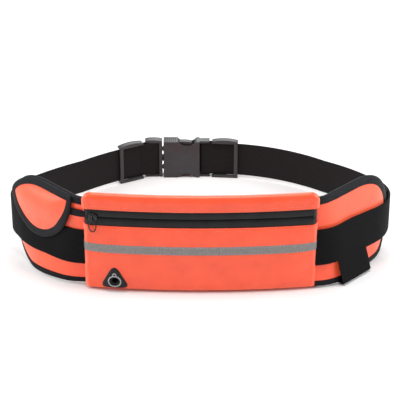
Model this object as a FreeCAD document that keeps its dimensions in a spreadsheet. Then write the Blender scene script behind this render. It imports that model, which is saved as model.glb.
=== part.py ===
import FreeCAD, Part
import math
import os
import Sketcher

# Running waist pack, worn as a closed belt. Millimetres, +Z up, the pouch faces -Y and the
# buckle is at the back. The origin is on the surface that the pack stands on, below the
# middle of its box. The belt line is the plan curve that the webbing's middle follows.

DIMENSIONS = {
    # belt line in plan
    "front_radius": 812, "front_line": -115, "corner_radius": 40, "diagonal_run": 52,
    "diagonal_angle": 45, "side_radius": 62, "left_back_radius": 300, "buckle_line": 114.7,
    "left_strap_end_across": 66, "left_strap_end_back": 110.3, "right_strap_end_across": 12,
    # pouch, with distances out from the belt line
    "pouch_half_width": 111.5, "pouch_height": 106, "pouch_front": 8, "pouch_back": -4.6,
    "back_thickness": 2, "shell_thickness": 2.2, "top_corner_radius": 9,
    "zip_bottom": 72.4, "zip_top": 90, "zip_slot": 1, "tape_thickness": 1.4,
    "tape_recess": 0.4, "teeth_height": 1.8, "teeth_inset": 3, "stop_inset": 4,
    "stop_length": 1.2, "stop_height": 5, "strip_bottom": 44.2, "strip_height": 9,
    "strip_thickness": 0.3,
    # cord port
    "port_across": -83, "port_up": 12.5, "port_half_width": 14.5, "port_bottom": 3.6,
    "port_apex": 31, "port_corner_radius": 5.5, "port_hole_radius": 3, "port_thickness": 1.2,
    "port_ring_radius": 6.6, "port_ring_width": 1, "port_ring_height": 0.6,
    # wings, bands and webbing, with distances out from the belt line
    "wing_bottom": 3, "wing_top": 97, "wing_inner": -3.6, "wing_outer": -1.2,
    "wing_round_centre": -80, "wing_end": 239, "binding_width": 8, "binding_lap": 0.5,
    "binding_edge": 0.8, "band_inner": 1, "band_outer": 2.6, "band_width": 38,
    "band_front_bottom": 25.5, "band_back_bottom": 3, "band_drop_start": -83,
    "band_drop_end": 73, "band_end": 262, "webbing_thickness": 1.6, "webbing_start": 240,
    # left pocket and its flap
    "pocket_inner": -0.4, "pocket_outer": 0.8, "pocket_bottom": 11.5, "pocket_top": 77,
    "pocket_binding_height": 7, "pocket_end": 214, "flap_centre": 60, "flap_half_width": 45.5,
    "flap_top": 96, "flap_bottom": 41, "flap_shoulder": 10, "flap_inner": 3.4,
    "flap_outer": 5, "flap_lap": 0.4, "patch_middle": 172, "patch_width": 44,
    "patch_bottom": 65.5, "patch_height": 10, "patch_gap": 0.4,
    # bottle strap under the right wing, with distances out from the belt line
    "bottle_start": 20, "bottle_width": 42, "bottle_thickness": 1.4, "bottle_reach": 11.7,
    "bottle_back": -7.4, "bottle_top": 28, "bottle_lift": 0.3, "bottle_fold_radius": 3,
    # side-release buckle, measured from the housing's mouth
    "mouth_across": -40, "loop_half_gap": 1.7, "buckle_height": 43.5, "housing_length": 39,
    "housing_thickness": 12.6, "housing_wall": 2, "housing_edge": 2.2, "housing_end": 4,
    "scallop_centre": 25.5, "scallop_radius": 13, "scallop_depth": 5, "frame_length": 11,
    "frame_thickness": 8, "frame_rail": 2.4, "bar_thickness": 3, "bar_length": 5,
    "male_length": 20, "male_bar_start": -13.5, "mouth_gap": 1.6, "base_length": 3.2,
    "guide_length": 24, "guide_height": 6, "guide_thickness": 5, "prong_pivot": 0.15,
    "prong_height": 11, "prong_arm": 3.4, "prong_thickness": 6, "prong_length": 33,
    "prong_gap": 0.35, "pad_start": 13, "pad_rise": 15.5, "pad_end": 31,
    # strap adjusters, with distances out from the belt line
    "adjuster_length": 28, "adjuster_height": 43.6, "adjuster_rail": 2.4, "adjuster_bar": 4,
    "adjuster_inner": -3.8, "adjuster_outer": 3.2, "far_bar_outer": -1.8,
    "near_bar_inner": 0.7, "near_bar_outer": 1.6, "centre_bar_inner": 1.1, "tail_inner": 1.6,
    "left_adjuster_lead": 10.6, "right_adjuster_lead": 14.6,
    # zip slider and pull
    "slider_angle": 7.2, "slider_length": 9, "slider_height": 10, "slider_plate": 1.4,
    "slider_gap": 0.3, "slider_depth": 4.8, "neck_length": 5, "neck_thickness": 0.5,
    "bail_reach": 4.1, "bail_half_height": 3.6, "bail_wire": 1, "pull_width": 8.4,
    "pull_length": 14.5, "pull_wire": 1.2, "pull_thickness": 1, "pull_drop": 0.3,
}

doc = FreeCAD.newDocument("WaistPack")
sheet = doc.addObject("Spreadsheet::Sheet", "Sizes")
for row, (alias, value) in enumerate(DIMENSIONS.items(), start=1):
    sheet.set(f"A{row}", str(value))
    sheet.setAlias(f"A{row}", alias)
doc.recompute()

V = FreeCAD.Vector
WIDE = 300.0    # past every part of the pack
parts = []      # every object that becomes a file of its own


def mm(alias):
    """A driving dimension, read from the sheet."""
    return float(sheet.get(alias))


# ---------------------------------------------------------------- features

def new_body(label, placement=FreeCAD.Placement()):
    body = doc.addObject("PartDesign::Body", label)
    body.Label = label
    body.Placement = placement
    parts.append(body)
    return body


def new_sketch(body, role, offset=FreeCAD.Placement()):
    plane = next(item for item in body.Origin.OriginFeatures if item.Role == role)
    sketch = body.newObject("Sketcher::SketchObject", "Outline")
    sketch.AttachmentSupport = [(plane, "")]
    sketch.MapMode = "FlatFace"
    sketch.AttachmentOffset = offset
    return sketch


def pad(body, sketch, length, symmetric=False, reversed_way=False):
    feature = body.newObject("PartDesign::Pad", "Pad")
    feature.Profile = sketch
    feature.setExpression("Length", length)
    feature.SideType = "Symmetric" if symmetric else "One side"
    feature.Reversed = reversed_way
    doc.recompute()
    return feature


def pocket(body, sketch, length=None, symmetric=False, reversed_way=False):
    """A cut of a given length, or through all. It must take material away."""
    before = body.Shape.Volume
    feature = body.newObject("PartDesign::Pocket", "Pocket")
    feature.Profile = sketch
    if length is None:
        feature.Type = "ThroughAll"
    else:
        feature.setExpression("Length", length)
    feature.SideType = "Symmetric" if symmetric else "One side"
    feature.Reversed = reversed_way
    doc.recompute()
    if body.Shape.Volume >= before:
        raise RuntimeError(f"{body.Label}: a pocket cuts nothing")
    return feature


def rectangle(sketch, left, bottom, width, height):
    """A constrained rectangle whose place and size are bound to the sheet."""
    first = sketch.GeometryCount
    corners = [V(0, 0, 0), V(1, 0, 0), V(1, 1, 0), V(0, 1, 0)]
    sketch.addGeometry(polygon(corners))
    for side in range(4):
        follower = first + (side + 1) % 4
        sketch.addConstraint(Sketcher.Constraint("Coincident", first + side, 2, follower, 1))
        direction = "Horizontal" if side % 2 == 0 else "Vertical"
        sketch.addConstraint(Sketcher.Constraint(direction, first + side))
    spans = (
        ("DistanceX", (-1, 1, first, 1), left),
        ("DistanceY", (-1, 1, first, 1), bottom),
        ("DistanceX", (first, 1, first, 2), width),
        ("DistanceY", (first + 1, 1, first + 1, 2), height),
    )
    for kind, ends, expression in spans:
        index = sketch.addConstraint(Sketcher.Constraint(kind, *ends, 1.0))
        sketch.setExpression(f"Constraints[{index}]", expression)


def polygon(corners):
    following = corners[1:] + corners[:1]
    return [Part.LineSegment(a, b) for a, b in zip(corners, following)]


def rounded(corners, radii):
    """A closed outline through the corners, each rounded by its own radius."""
    count = len(corners)
    ends = []
    for index, corner in enumerate(corners):
        before = (corners[index - 1] - corner).normalize()
        after = (corners[(index + 1) % count] - corner).normalize()
        half_turn = before.getAngle(after) / 2
        reach = radii[index] / math.tan(half_turn)
        bisector = (before + after).normalize()
        nearest = corner + bisector * (radii[index] / math.sin(half_turn) - radii[index])
        ends.append((corner + before * reach, nearest, corner + after * reach))
    outline = []
    for index, (start, middle, stop) in enumerate(ends):
        if radii[index] > 0:
            outline.append(Part.Arc(start, middle, stop))
        outline.append(Part.LineSegment(stop, ends[(index + 1) % count][0]))
    return outline


def keep_inside(body, role, outline, offset=FreeCAD.Placement()):
    """Cuts away all of a body that lies outside an outline, seen square to a plane."""
    sketch = new_sketch(body, role, offset)
    sketch.addGeometry(polygon([
        V(-WIDE, -WIDE, 0), V(WIDE, -WIDE, 0), V(WIDE, WIDE, 0), V(-WIDE, WIDE, 0)]))
    sketch.addGeometry(outline)
    return pocket(body, sketch, symmetric=True)


def cut_out(body, role, outline, offset=FreeCAD.Placement()):
    """Cuts an outline right through a body."""
    sketch = new_sketch(body, role, offset)
    sketch.addGeometry(outline)
    return pocket(body, sketch, symmetric=True)


# ---------------------------------------------------------------- the belt line

FRONT_CENTRE = V(0, mm("front_line") + mm("front_radius"), 0)
EDGE_ANGLE = math.asin(mm("pouch_half_width") / mm("front_radius"))
DIAGONAL = math.radians(mm("diagonal_angle"))


def polar(centre, radius, angle):
    return centre + V(math.cos(angle), math.sin(angle), 0) * radius


def inner_touching_centre(small_centre, small_radius, through, radius):
    """The centre of a circle through a point, with a smaller circle touching it inside."""
    apart = through - small_centre
    along = ((radius - small_radius) ** 2 - radius ** 2 + apart.Length ** 2) / (2 * apart.Length)
    aside = math.sqrt((radius - small_radius) ** 2 - along ** 2)
    forward = V(apart).normalize()
    sideways = V(-forward.y, forward.x, 0)
    centres = [small_centre + forward * along + sideways * way * aside for way in (-1, 1)]
    return min(centres, key=lambda centre: centre.y)


def belt_line(left):
    """The belt line from the pouch's middle to the strap's end, as arcs and one straight.

    Both sides are worked out as if on the right. An arc is its centre, radius, first and
    last angle; a straight is its ends and its way out.
    """
    corner_radius = mm("corner_radius")
    side_radius = mm("side_radius")
    front_end = EDGE_ANGLE - math.pi / 2
    corner_centre = polar(FRONT_CENTRE, mm("front_radius") - corner_radius, front_end)
    way_out = V(math.sin(DIAGONAL), -math.cos(DIAGONAL), 0)
    run_start = corner_centre + way_out * corner_radius
    run_end = run_start + V(math.cos(DIAGONAL), math.sin(DIAGONAL), 0) * mm("diagonal_run")
    side_centre = run_end - way_out * side_radius
    if left:
        strap_end = V(mm("left_strap_end_across"), mm("left_strap_end_back"), 0)
        back_radius = mm("left_back_radius")
        back_centre = inner_touching_centre(side_centre, side_radius, strap_end, back_radius)
        last_arm = strap_end - back_centre
        last_angle = math.atan2(last_arm.y, last_arm.x)
    else:
        across = side_centre.x - mm("right_strap_end_across")
        behind = mm("buckle_line") - side_centre.y
        back_radius = (across ** 2 + behind ** 2 - side_radius ** 2) / (2 * (behind - side_radius))
        back_centre = V(mm("right_strap_end_across"), mm("buckle_line") - back_radius, 0)
        last_angle = math.pi / 2
    join_arm = side_centre - back_centre
    join = math.atan2(join_arm.y, join_arm.x)
    return [
        ("arc", FRONT_CENTRE, mm("front_radius"), -math.pi / 2, front_end),
        ("arc", corner_centre, corner_radius, front_end, DIAGONAL - math.pi / 2),
        ("run", run_start, run_end, way_out),
        ("arc", side_centre, side_radius, DIAGONAL - math.pi / 2, join),
        ("arc", back_centre, back_radius, join, last_angle),
    ]


LINES = {"left": belt_line(True), "right": belt_line(False)}


def stretch_length(stretch):
    if stretch[0] == "run":
        return (stretch[2] - stretch[1]).Length
    return stretch[2] * (stretch[4] - stretch[3])


POUCH_EDGE = stretch_length(LINES["left"][0])
LINE_END = {side: sum(stretch_length(item) for item in LINES[side]) for side in LINES}


def point_on(stretch, distance, offset):
    """A point of one stretch, a distance along it and an offset out from it."""
    if stretch[0] == "run":
        _, start, stop, way_out = stretch
        return start + (stop - start).normalize() * distance + way_out * offset
    _, centre, radius, first, _ = stretch
    return polar(centre, radius + offset, first + distance / radius)


def station(side, distance, offset):
    """The point a distance along one side's belt line and an offset out from it."""
    for stretch in LINES[side]:
        length = stretch_length(stretch)
        if distance <= length + 1e-6:
            point = point_on(stretch, distance, offset)
            return V(-point.x, point.y, 0) if side == "left" else point
        distance -= length
    raise ValueError("the belt line ends before this distance")


def trace(side, start, stop, offset):
    """The edges of the belt line from start to stop, offset outwards."""
    edges = []
    reached = 0.0
    for stretch in LINES[side]:
        low = max(start, reached)
        reached += stretch_length(stretch)
        high = min(stop, reached)
        if high - low < 1e-6:
            continue
        first, middle, last = (station(side, d, offset) for d in (low, (low + high) / 2, high))
        if side == "left":
            first, last = last, first
        if stretch[0] == "run":
            edges.append(Part.LineSegment(first, last))
        else:
            edges.append(Part.Arc(first, middle, last))
    return edges


def ribbon(side, start, stop, inner, outer):
    """The closed plan outline of a strip that follows the belt line."""
    ends = [
        Part.LineSegment(station(side, distance, inner), station(side, distance, outer))
        for distance in (start, stop)
    ]
    return trace(side, start, stop, inner) + trace(side, start, stop, outer) + ends


def front_ribbon(half_width, inner, outer):
    """The plan outline of a strip right across the pouch."""
    reach = math.asin(half_width / mm("front_radius"))
    edges = []
    for offset in (inner, outer):
        radius = mm("front_radius") + offset
        angles = (-reach - math.pi / 2, -math.pi / 2, reach - math.pi / 2)
        edges.append(Part.Arc(*(polar(FRONT_CENTRE, radius, angle) for angle in angles)))
    for angle in (-reach - math.pi / 2, reach - math.pi / 2):
        edges.append(Part.LineSegment(
            polar(FRONT_CENTRE, mm("front_radius") + inner, angle),
            polar(FRONT_CENTRE, mm("front_radius") + outer, angle)))
    return edges


def strip_body(label, plan, bottom, height):
    """A body whose plan is the outline given, from one height up by another."""
    body = new_body(label)
    sketch = new_sketch(body, "XY_Plane")
    sketch.setExpression(".AttachmentOffset.Base.z", bottom)
    sketch.addGeometry(plan)
    pad(body, sketch, height)
    return body


# ---------------------------------------------------------------- pouch

SHELL_INNER = mm("pouch_back") + mm("back_thickness")
CAVITY_FRONT = mm("pouch_front") - mm("shell_thickness")
CAVITY_HALF_WIDTH = mm("pouch_half_width") - mm("shell_thickness")
PORT_MIDDLE = V(mm("port_across"), mm("port_up"), 0)


def pouch_outline():
    """The pouch seen from the front, with its round top corners."""
    side = (mm("front_radius") + mm("pouch_front")) * math.sin(EDGE_ANGLE)
    top = mm("pouch_height")
    corners = [V(-side, -5, 0), V(side, -5, 0), V(side, top, 0), V(-side, top, 0)]
    return rounded(corners, [0, 0, mm("top_corner_radius"), mm("top_corner_radius")])


def circle(middle, radius):
    return [Part.Circle(middle, V(0, 0, 1), radius)]


def make_back_panel():
    half = mm("pouch_half_width")
    body = strip_body("pouch_back_panel", front_ribbon(half, mm("pouch_back"), SHELL_INNER),
                      "0 mm", "Sizes.pouch_height")
    keep_inside(body, "XZ_Plane", pouch_outline())


def hollow(body, bottom, height, front=CAVITY_FRONT):
    """Opens a pouch panel's inside, from one height up by another, out to a front offset."""
    sketch = new_sketch(body, "XY_Plane")
    sketch.setExpression(".AttachmentOffset.Base.z", bottom)
    sketch.addGeometry(front_ribbon(CAVITY_HALF_WIDTH, SHELL_INNER - 1, front))
    pocket(body, sketch, height, reversed_way=True)


def make_front_panel():
    """The lower front, floor and side walls in one folded piece, with the cord port's hole."""
    half = mm("pouch_half_width")
    body = strip_body("pouch_front_panel", front_ribbon(half, SHELL_INNER, mm("pouch_front")),
                      "0 mm", "Sizes.zip_top")
    hollow(body, "Sizes.shell_thickness", "Sizes.zip_top")
    hollow(body, "Sizes.zip_bottom", "Sizes.zip_top", mm("pouch_front") + 1)
    cut_out(body, "XZ_Plane", circle(PORT_MIDDLE, mm("port_hole_radius")))


def make_top_panel():
    half = mm("pouch_half_width")
    body = strip_body("pouch_top_panel", front_ribbon(half, SHELL_INNER, mm("pouch_front")),
                      "Sizes.zip_top", "Sizes.pouch_height - Sizes.zip_top")
    hollow(body, "Sizes.zip_top", "Sizes.pouch_height - Sizes.zip_top - Sizes.shell_thickness")
    keep_inside(body, "XZ_Plane", pouch_outline())


def make_zip():
    """Two coated tapes with a slot for the slider's neck, and a row of teeth behind each."""
    outer = mm("pouch_front") - mm("tape_recess")
    inner = outer - mm("tape_thickness")
    behind = inner - mm("tape_thickness")
    middle = "(Sizes.zip_bottom + Sizes.zip_top) / 2"
    half_tape = "(Sizes.zip_top - Sizes.zip_bottom - Sizes.zip_slot) / 2"
    tape = front_ribbon(CAVITY_HALF_WIDTH, inner, outer)
    teeth = front_ribbon(CAVITY_HALF_WIDTH - mm("teeth_inset"), behind, inner)
    strip_body("zip_tape_lower", tape, "Sizes.zip_bottom", half_tape)
    strip_body("zip_tape_upper", tape, f"{middle} + Sizes.zip_slot / 2", half_tape)
    strip_body("zip_teeth_lower", teeth, f"{middle} - Sizes.zip_slot / 2 - Sizes.teeth_height",
               "Sizes.teeth_height")
    strip_body("zip_teeth_upper", teeth, f"{middle} + Sizes.zip_slot / 2", "Sizes.teeth_height")


def make_zip_stop(label, side):
    """A crimped stop that bridges both tapes at one end of the zip."""
    outer = mm("pouch_front") - mm("tape_recess")
    start = POUCH_EDGE - mm("stop_inset")
    plan = ribbon(side, start, start + mm("stop_length"), outer, outer + mm("tape_thickness"))
    strip_body(label, plan, "(Sizes.zip_bottom + Sizes.zip_top - Sizes.stop_height) / 2",
               "Sizes.stop_height")


def make_reflective_strip():
    front = mm("pouch_front")
    plan = front_ribbon(mm("pouch_half_width"), front, front + mm("strip_thickness"))
    strip_body("reflective_strip", plan, "Sizes.strip_bottom", "Sizes.strip_height")


def make_cord_port():
    """A moulded three-cornered patch round the port's hole, with a raised ring and eyelet."""
    front = mm("pouch_front")
    face = front + mm("port_thickness")
    half = mm("port_half_width")
    corners = [
        V(PORT_MIDDLE.x - half, mm("port_bottom"), 0), V(PORT_MIDDLE.x + half, mm("port_bottom"), 0),
        V(PORT_MIDDLE.x, mm("port_apex"), 0)]
    patch = strip_body("cord_port_patch", front_ribbon(mm("pouch_half_width"), front, face),
                       "0 mm", "Sizes.pouch_height")
    keep_inside(patch, "XZ_Plane", rounded(corners, [mm("port_corner_radius")] * 3))
    cut_out(patch, "XZ_Plane", circle(PORT_MIDDLE, mm("port_hole_radius")))
    raised = front_ribbon(mm("pouch_half_width"), face, face + mm("port_ring_height"))
    ring = strip_body("cord_port_ring", raised, "0 mm", "Sizes.pouch_height")
    keep_inside(ring, "XZ_Plane", circle(PORT_MIDDLE, mm("port_ring_radius")))
    cut_out(ring, "XZ_Plane", circle(PORT_MIDDLE, mm("port_ring_radius") - mm("port_ring_width")))


# ---------------------------------------------------------------- wings, bands and webbing

WING_MIDDLE = (mm("wing_bottom") + mm("wing_top")) / 2
WING_RADIUS = (mm("wing_top") - mm("wing_bottom")) / 2


def wing_outline(inset):
    """A wing seen from the side: a tongue with a round end, drawn in by an inset."""
    radius = WING_RADIUS - inset
    centre = V(mm("wing_round_centre"), WING_MIDDLE, 0)
    root = -WIDE / 2
    top, tip, bottom = (centre + V(0, radius, 0), centre + V(radius, 0, 0), centre - V(0, radius, 0))
    return [
        Part.LineSegment(V(root, bottom.y, 0), bottom),
        Part.Arc(bottom, tip, top),
        Part.LineSegment(top, V(root, top.y, 0)),
        Part.LineSegment(V(root, top.y, 0), V(root, bottom.y, 0)),
    ]


def wing_strip(label, side, inner, outer, inset):
    plan = ribbon(side, POUCH_EDGE, mm("wing_end"), inner, outer)
    body = strip_body(label, plan, "0 mm", "Sizes.pouch_height")
    keep_inside(body, "YZ_Plane", wing_outline(inset))
    return body


def minus(label, blank, core):
    """One body less another, which stays as it is, as a part of its own."""
    parts.remove(blank)
    result = doc.addObject("Part::Cut", label)
    result.Label = label
    result.Base = blank
    result.Tool = core
    parts.append(result)
    return result


def make_wing(side):
    """The neoprene panel, and the folded binding that laps both its faces round the edge."""
    panel = wing_strip(f"{side}_wing_panel", side, mm("wing_inner"), mm("wing_outer"),
                       mm("binding_edge"))
    lap = mm("binding_lap")
    blank = wing_strip(f"{side}_wing_binding_blank", side, mm("wing_inner") - lap,
                       mm("wing_outer") + lap, 0)
    cut_out(blank, "YZ_Plane", wing_outline(mm("binding_width")))
    minus(f"{side}_wing_binding", blank, panel)


def drop_outline():
    """The band and webbing seen from the side, level at the front and dropping to the back."""
    front_bottom = mm("band_front_bottom")
    back_bottom = mm("band_back_bottom")
    width = mm("band_width")
    run = [
        (-WIDE / 2, front_bottom), (mm("band_drop_start"), front_bottom),
        (mm("band_drop_end"), back_bottom), (WIDE / 2, back_bottom)]
    lower = [V(along, up, 0) for along, up in run]
    upper = [V(along, up + width, 0) for along, up in reversed(run)]
    return polygon(lower + upper)


def make_band(side):
    plan = ribbon(side, POUCH_EDGE, mm("band_end"), mm("band_inner"), mm("band_outer"))
    body = strip_body(f"{side}_elastic_band", plan, "0 mm", "Sizes.pouch_height")
    keep_inside(body, "YZ_Plane", drop_outline())


def make_webbing(side):
    half = mm("webbing_thickness") / 2
    plan = ribbon(side, mm("webbing_start"), LINE_END[side], -half, half)
    body = strip_body(f"{side}_webbing", plan, "0 mm", "Sizes.pouch_height")
    keep_inside(body, "YZ_Plane", drop_outline())


# ---------------------------------------------------------------- left pocket and flap

LEFT_DIAGONAL = FreeCAD.Placement(V(0, 0, 0), FreeCAD.Rotation(V(0, 1, 0), -mm("diagonal_angle")))


def make_pocket():
    """A patch pocket on the left wing with a bound top edge."""
    inside_binding = mm("binding_width") + mm("binding_lap")
    plan = ribbon("left", POUCH_EDGE, mm("pocket_end"), mm("pocket_inner"), mm("pocket_outer"))
    panel = strip_body("left_pocket_panel", plan, "Sizes.pocket_bottom",
                       "Sizes.pocket_top - Sizes.pocket_bottom")
    binding = strip_body("pocket_binding", plan, "Sizes.pocket_top",
                         "Sizes.pocket_binding_height")
    for body in (panel, binding):
        keep_inside(body, "YZ_Plane", wing_outline(inside_binding))


def flap_outline(inset):
    """The flap seen square to the diagonal: a straight top, short shoulders, a round bottom."""
    half = mm("flap_half_width") - inset
    top = mm("flap_top") - inset
    shoulder = mm("flap_top") - mm("flap_shoulder")
    centre = V(-mm("flap_centre"), shoulder, 0)
    near, far = centre - V(half, 0, 0), centre + V(half, 0, 0)
    bowl = Part.Ellipse(centre, half, shoulder - mm("flap_bottom") - inset)
    return [
        Part.ArcOfEllipse(bowl, math.pi, 2 * math.pi),
        Part.LineSegment(far, V(far.x, top, 0)),
        Part.LineSegment(V(far.x, top, 0), V(near.x, top, 0)),
        Part.LineSegment(V(near.x, top, 0), near),
    ]


def flap_strip(label, inner, outer, inset):
    plan = ribbon("left", POUCH_EDGE, mm("wing_end"), inner, outer)
    body = strip_body(label, plan, "0 mm", "Sizes.pouch_height")
    keep_inside(body, "XZ_Plane", flap_outline(inset), LEFT_DIAGONAL)
    keep_inside(body, "YZ_Plane", wing_outline(inset))
    return body


def make_flap():
    """The hanging flap, and the folded binding that laps its edge."""
    lap = mm("flap_lap")
    panel = flap_strip("pocket_flap", mm("flap_inner"), mm("flap_outer"), mm("binding_edge"))
    blank = flap_strip("flap_binding_blank", mm("flap_inner") - lap, mm("flap_outer") + lap, 0)
    cut_out(blank, "XZ_Plane", flap_outline(mm("binding_width")), LEFT_DIAGONAL)
    minus("flap_binding", blank, panel)


def make_patches():
    """Hook tape inside the flap and loop tape on the pocket, facing each other."""
    start = mm("patch_middle") - mm("patch_width") / 2
    stop = mm("patch_middle") + mm("patch_width") / 2
    split = (mm("pocket_outer") + mm("flap_inner")) / 2
    half_gap = mm("patch_gap") / 2
    for label, inner, outer in (
            ("pocket_loop_patch", mm("pocket_outer"), split - half_gap),
            ("flap_hook_patch", split + half_gap, mm("flap_inner"))):
        plan = ribbon("left", start, stop, inner, outer)
        strip_body(label, plan, "Sizes.patch_bottom", "Sizes.patch_height")


# ---------------------------------------------------------------- bottle strap

def make_bottle_strap():
    """A wide elastic from the band's lower edge, under the wing and up again behind it."""
    run_start = LINES["right"][2][1]
    way_out = LINES["right"][2][3]
    line_out = run_start.dot(way_out)
    start = mm("bottle_start")
    thickness = mm("bottle_thickness")
    outer_top = mm("band_outer") + 0.1 + thickness
    reach, back = mm("bottle_reach"), mm("bottle_back")
    top, low = mm("bottle_top"), mm("bottle_lift")
    fold = mm("bottle_fold_radius")
    corners = [
        (outer_top, top), (outer_top - thickness, top), (reach - thickness, low + thickness),
        (back + thickness, low + thickness), (back + thickness, top), (back, top), (back, low),
        (reach, low)]
    radii = [0, 0, fold - thickness, fold - thickness, 0, 0, fold, fold]
    outline = rounded([V(-line_out - away, up, 0) for away, up in corners], radii)
    body = new_body("bottle_strap")
    along = V(math.sin(DIAGONAL) * start, 0, math.cos(DIAGONAL) * start)
    turned = FreeCAD.Rotation(V(0, 1, 0), mm("diagonal_angle"))
    sketch = new_sketch(body, "YZ_Plane", FreeCAD.Placement(along, turned))
    sketch.addGeometry(outline)
    pad(body, sketch, "Sizes.bottle_width")


# ---------------------------------------------------------------- buckle

BUCKLE_BACK = mm("buckle_line") + mm("loop_half_gap") + mm("webbing_thickness") / 2
BUCKLE_UP = mm("buckle_height") / 2
BUCKLE = FreeCAD.Placement(V(mm("mouth_across"), BUCKLE_BACK, BUCKLE_UP), FreeCAD.Rotation())


def slab(body, left, bottom, width, height, thickness):
    """A block centred on the body's XZ plane."""
    sketch = new_sketch(body, "XZ_Plane")
    rectangle(sketch, left, bottom, width, height)
    pad(body, sketch, thickness, symmetric=True)


def webbing_frame(body, left, length, bar_left):
    """The two rails and the bar that the webbing goes round."""
    half = "Sizes.buckle_height / 2"
    for bottom in (f"-{half}", f"{half} - Sizes.frame_rail"):
        slab(body, left, bottom, length, "Sizes.frame_rail", "Sizes.frame_thickness")
    slab(body, bar_left, f"-{half}", "Sizes.bar_length", "Sizes.buckle_height",
         "Sizes.bar_thickness")


def make_housing():
    """The socket half: a flat box with finger scallops, and a webbing frame behind it."""
    body = new_body("buckle_housing", BUCKLE)
    slab(body, "0 mm", "-Sizes.buckle_height / 2", "Sizes.housing_length",
         "Sizes.buckle_height", "Sizes.housing_thickness")
    cavity = new_sketch(body, "YZ_Plane")
    rectangle(cavity, "Sizes.housing_wall - Sizes.housing_thickness / 2",
              "Sizes.housing_edge - Sizes.buckle_height / 2",
              "Sizes.housing_thickness - 2 * Sizes.housing_wall",
              "Sizes.buckle_height - 2 * Sizes.housing_edge")
    pocket(body, cavity, "Sizes.housing_length - Sizes.housing_end", reversed_way=True)
    radius = mm("scallop_radius")
    for way in (-1, 1):
        up = way * (BUCKLE_UP + radius - mm("scallop_depth"))
        cut_out(body, "XZ_Plane", circle(V(mm("scallop_centre"), up, 0), radius))
    webbing_frame(body, "Sizes.housing_length", "Sizes.frame_length",
                  "Sizes.housing_length + Sizes.frame_length - Sizes.bar_length")


def make_male_frame():
    """The plug half: its webbing frame, the base that meets the mouth, and the guide."""
    body = new_body("buckle_male_frame", BUCKLE)
    slab(body, "-Sizes.mouth_gap - Sizes.base_length", "-Sizes.buckle_height / 2",
         "Sizes.base_length", "Sizes.buckle_height", "Sizes.frame_thickness")
    webbing_frame(body, "-Sizes.male_length", "Sizes.male_length - Sizes.mouth_gap",
                  "Sizes.male_bar_start")
    slab(body, "-Sizes.mouth_gap", "-Sizes.guide_height / 2", "Sizes.guide_length",
         "Sizes.guide_height", "Sizes.guide_thickness")


def make_prong(label, way):
    """A springy arm with a round root, and the pad that a finger presses."""
    body = new_body(label, BUCKLE)
    half_arm = mm("prong_arm") / 2
    root = mm("prong_pivot") - half_arm
    inner = mm("prong_height") - half_arm
    outer = mm("prong_height") + half_arm
    pad_top = BUCKLE_UP - mm("housing_edge") - mm("prong_gap")
    tip = mm("prong_length")
    corners = [
        (root, inner), (tip, inner), (tip, outer), (mm("pad_end"), pad_top),
        (mm("pad_rise"), pad_top), (mm("pad_start"), outer), (root, outer)]
    radii = [half_arm * 0.99, 1, 1, 2, 3, 4, half_arm * 0.99]
    if way < 0:
        corners.reverse()
        radii.reverse()
    sketch = new_sketch(body, "XZ_Plane")
    sketch.addGeometry(rounded([V(along, way * up, 0) for along, up in corners], radii))
    pad(body, sketch, "Sizes.prong_thickness", symmetric=True)


def make_loop(side, turn, front_end, back_end):
    """The webbing's hairpin round a buckle bar, from the belt line to the tail behind."""
    inner = mm("loop_half_gap")
    outer = inner + mm("webbing_thickness")
    bulge = -1 if side == "right" else 1

    def hairpin(radius, front, back):
        start = V(turn, BUCKLE_BACK - radius, 0)
        middle = V(turn + bulge * radius, BUCKLE_BACK, 0)
        stop = V(turn, BUCKLE_BACK + radius, 0)
        arc = Part.Arc(start, middle, stop) if bulge > 0 else Part.Arc(stop, middle, start)
        return [arc, Part.LineSegment(start, front), Part.LineSegment(stop, back)]

    fronts = {inner: front_end[1], outer: front_end[0]}
    backs = {radius: V(back_end, BUCKLE_BACK + radius, 0) for radius in (inner, outer)}
    plan = [Part.LineSegment(*fronts.values()), Part.LineSegment(*backs.values())]
    for radius in (inner, outer):
        plan += hairpin(radius, fronts[radius], backs[radius])
    strip_body(f"{side}_webbing_loop", plan, "Sizes.band_back_bottom", "Sizes.band_width")


def make_tail(side, start):
    """The webbing's free end, from behind the buckle bar to the adjuster's centre bar."""
    reach = LINE_END[side] - mm(f"{side}_adjuster_lead") + mm("adjuster_bar") / 2 + 0.3
    inner = mm("tail_inner")
    outer = inner + mm("webbing_thickness")
    first, second = (V(start, BUCKLE_BACK + mm("loop_half_gap") + extra, 0)
                     for extra in (0, mm("webbing_thickness")))
    plan = polygon([first, second, station(side, reach, outer), station(side, reach, inner)])
    strip_body(f"{side}_webbing_tail", plan, "Sizes.band_back_bottom", "Sizes.band_width")


# ---------------------------------------------------------------- strap adjusters

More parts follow.
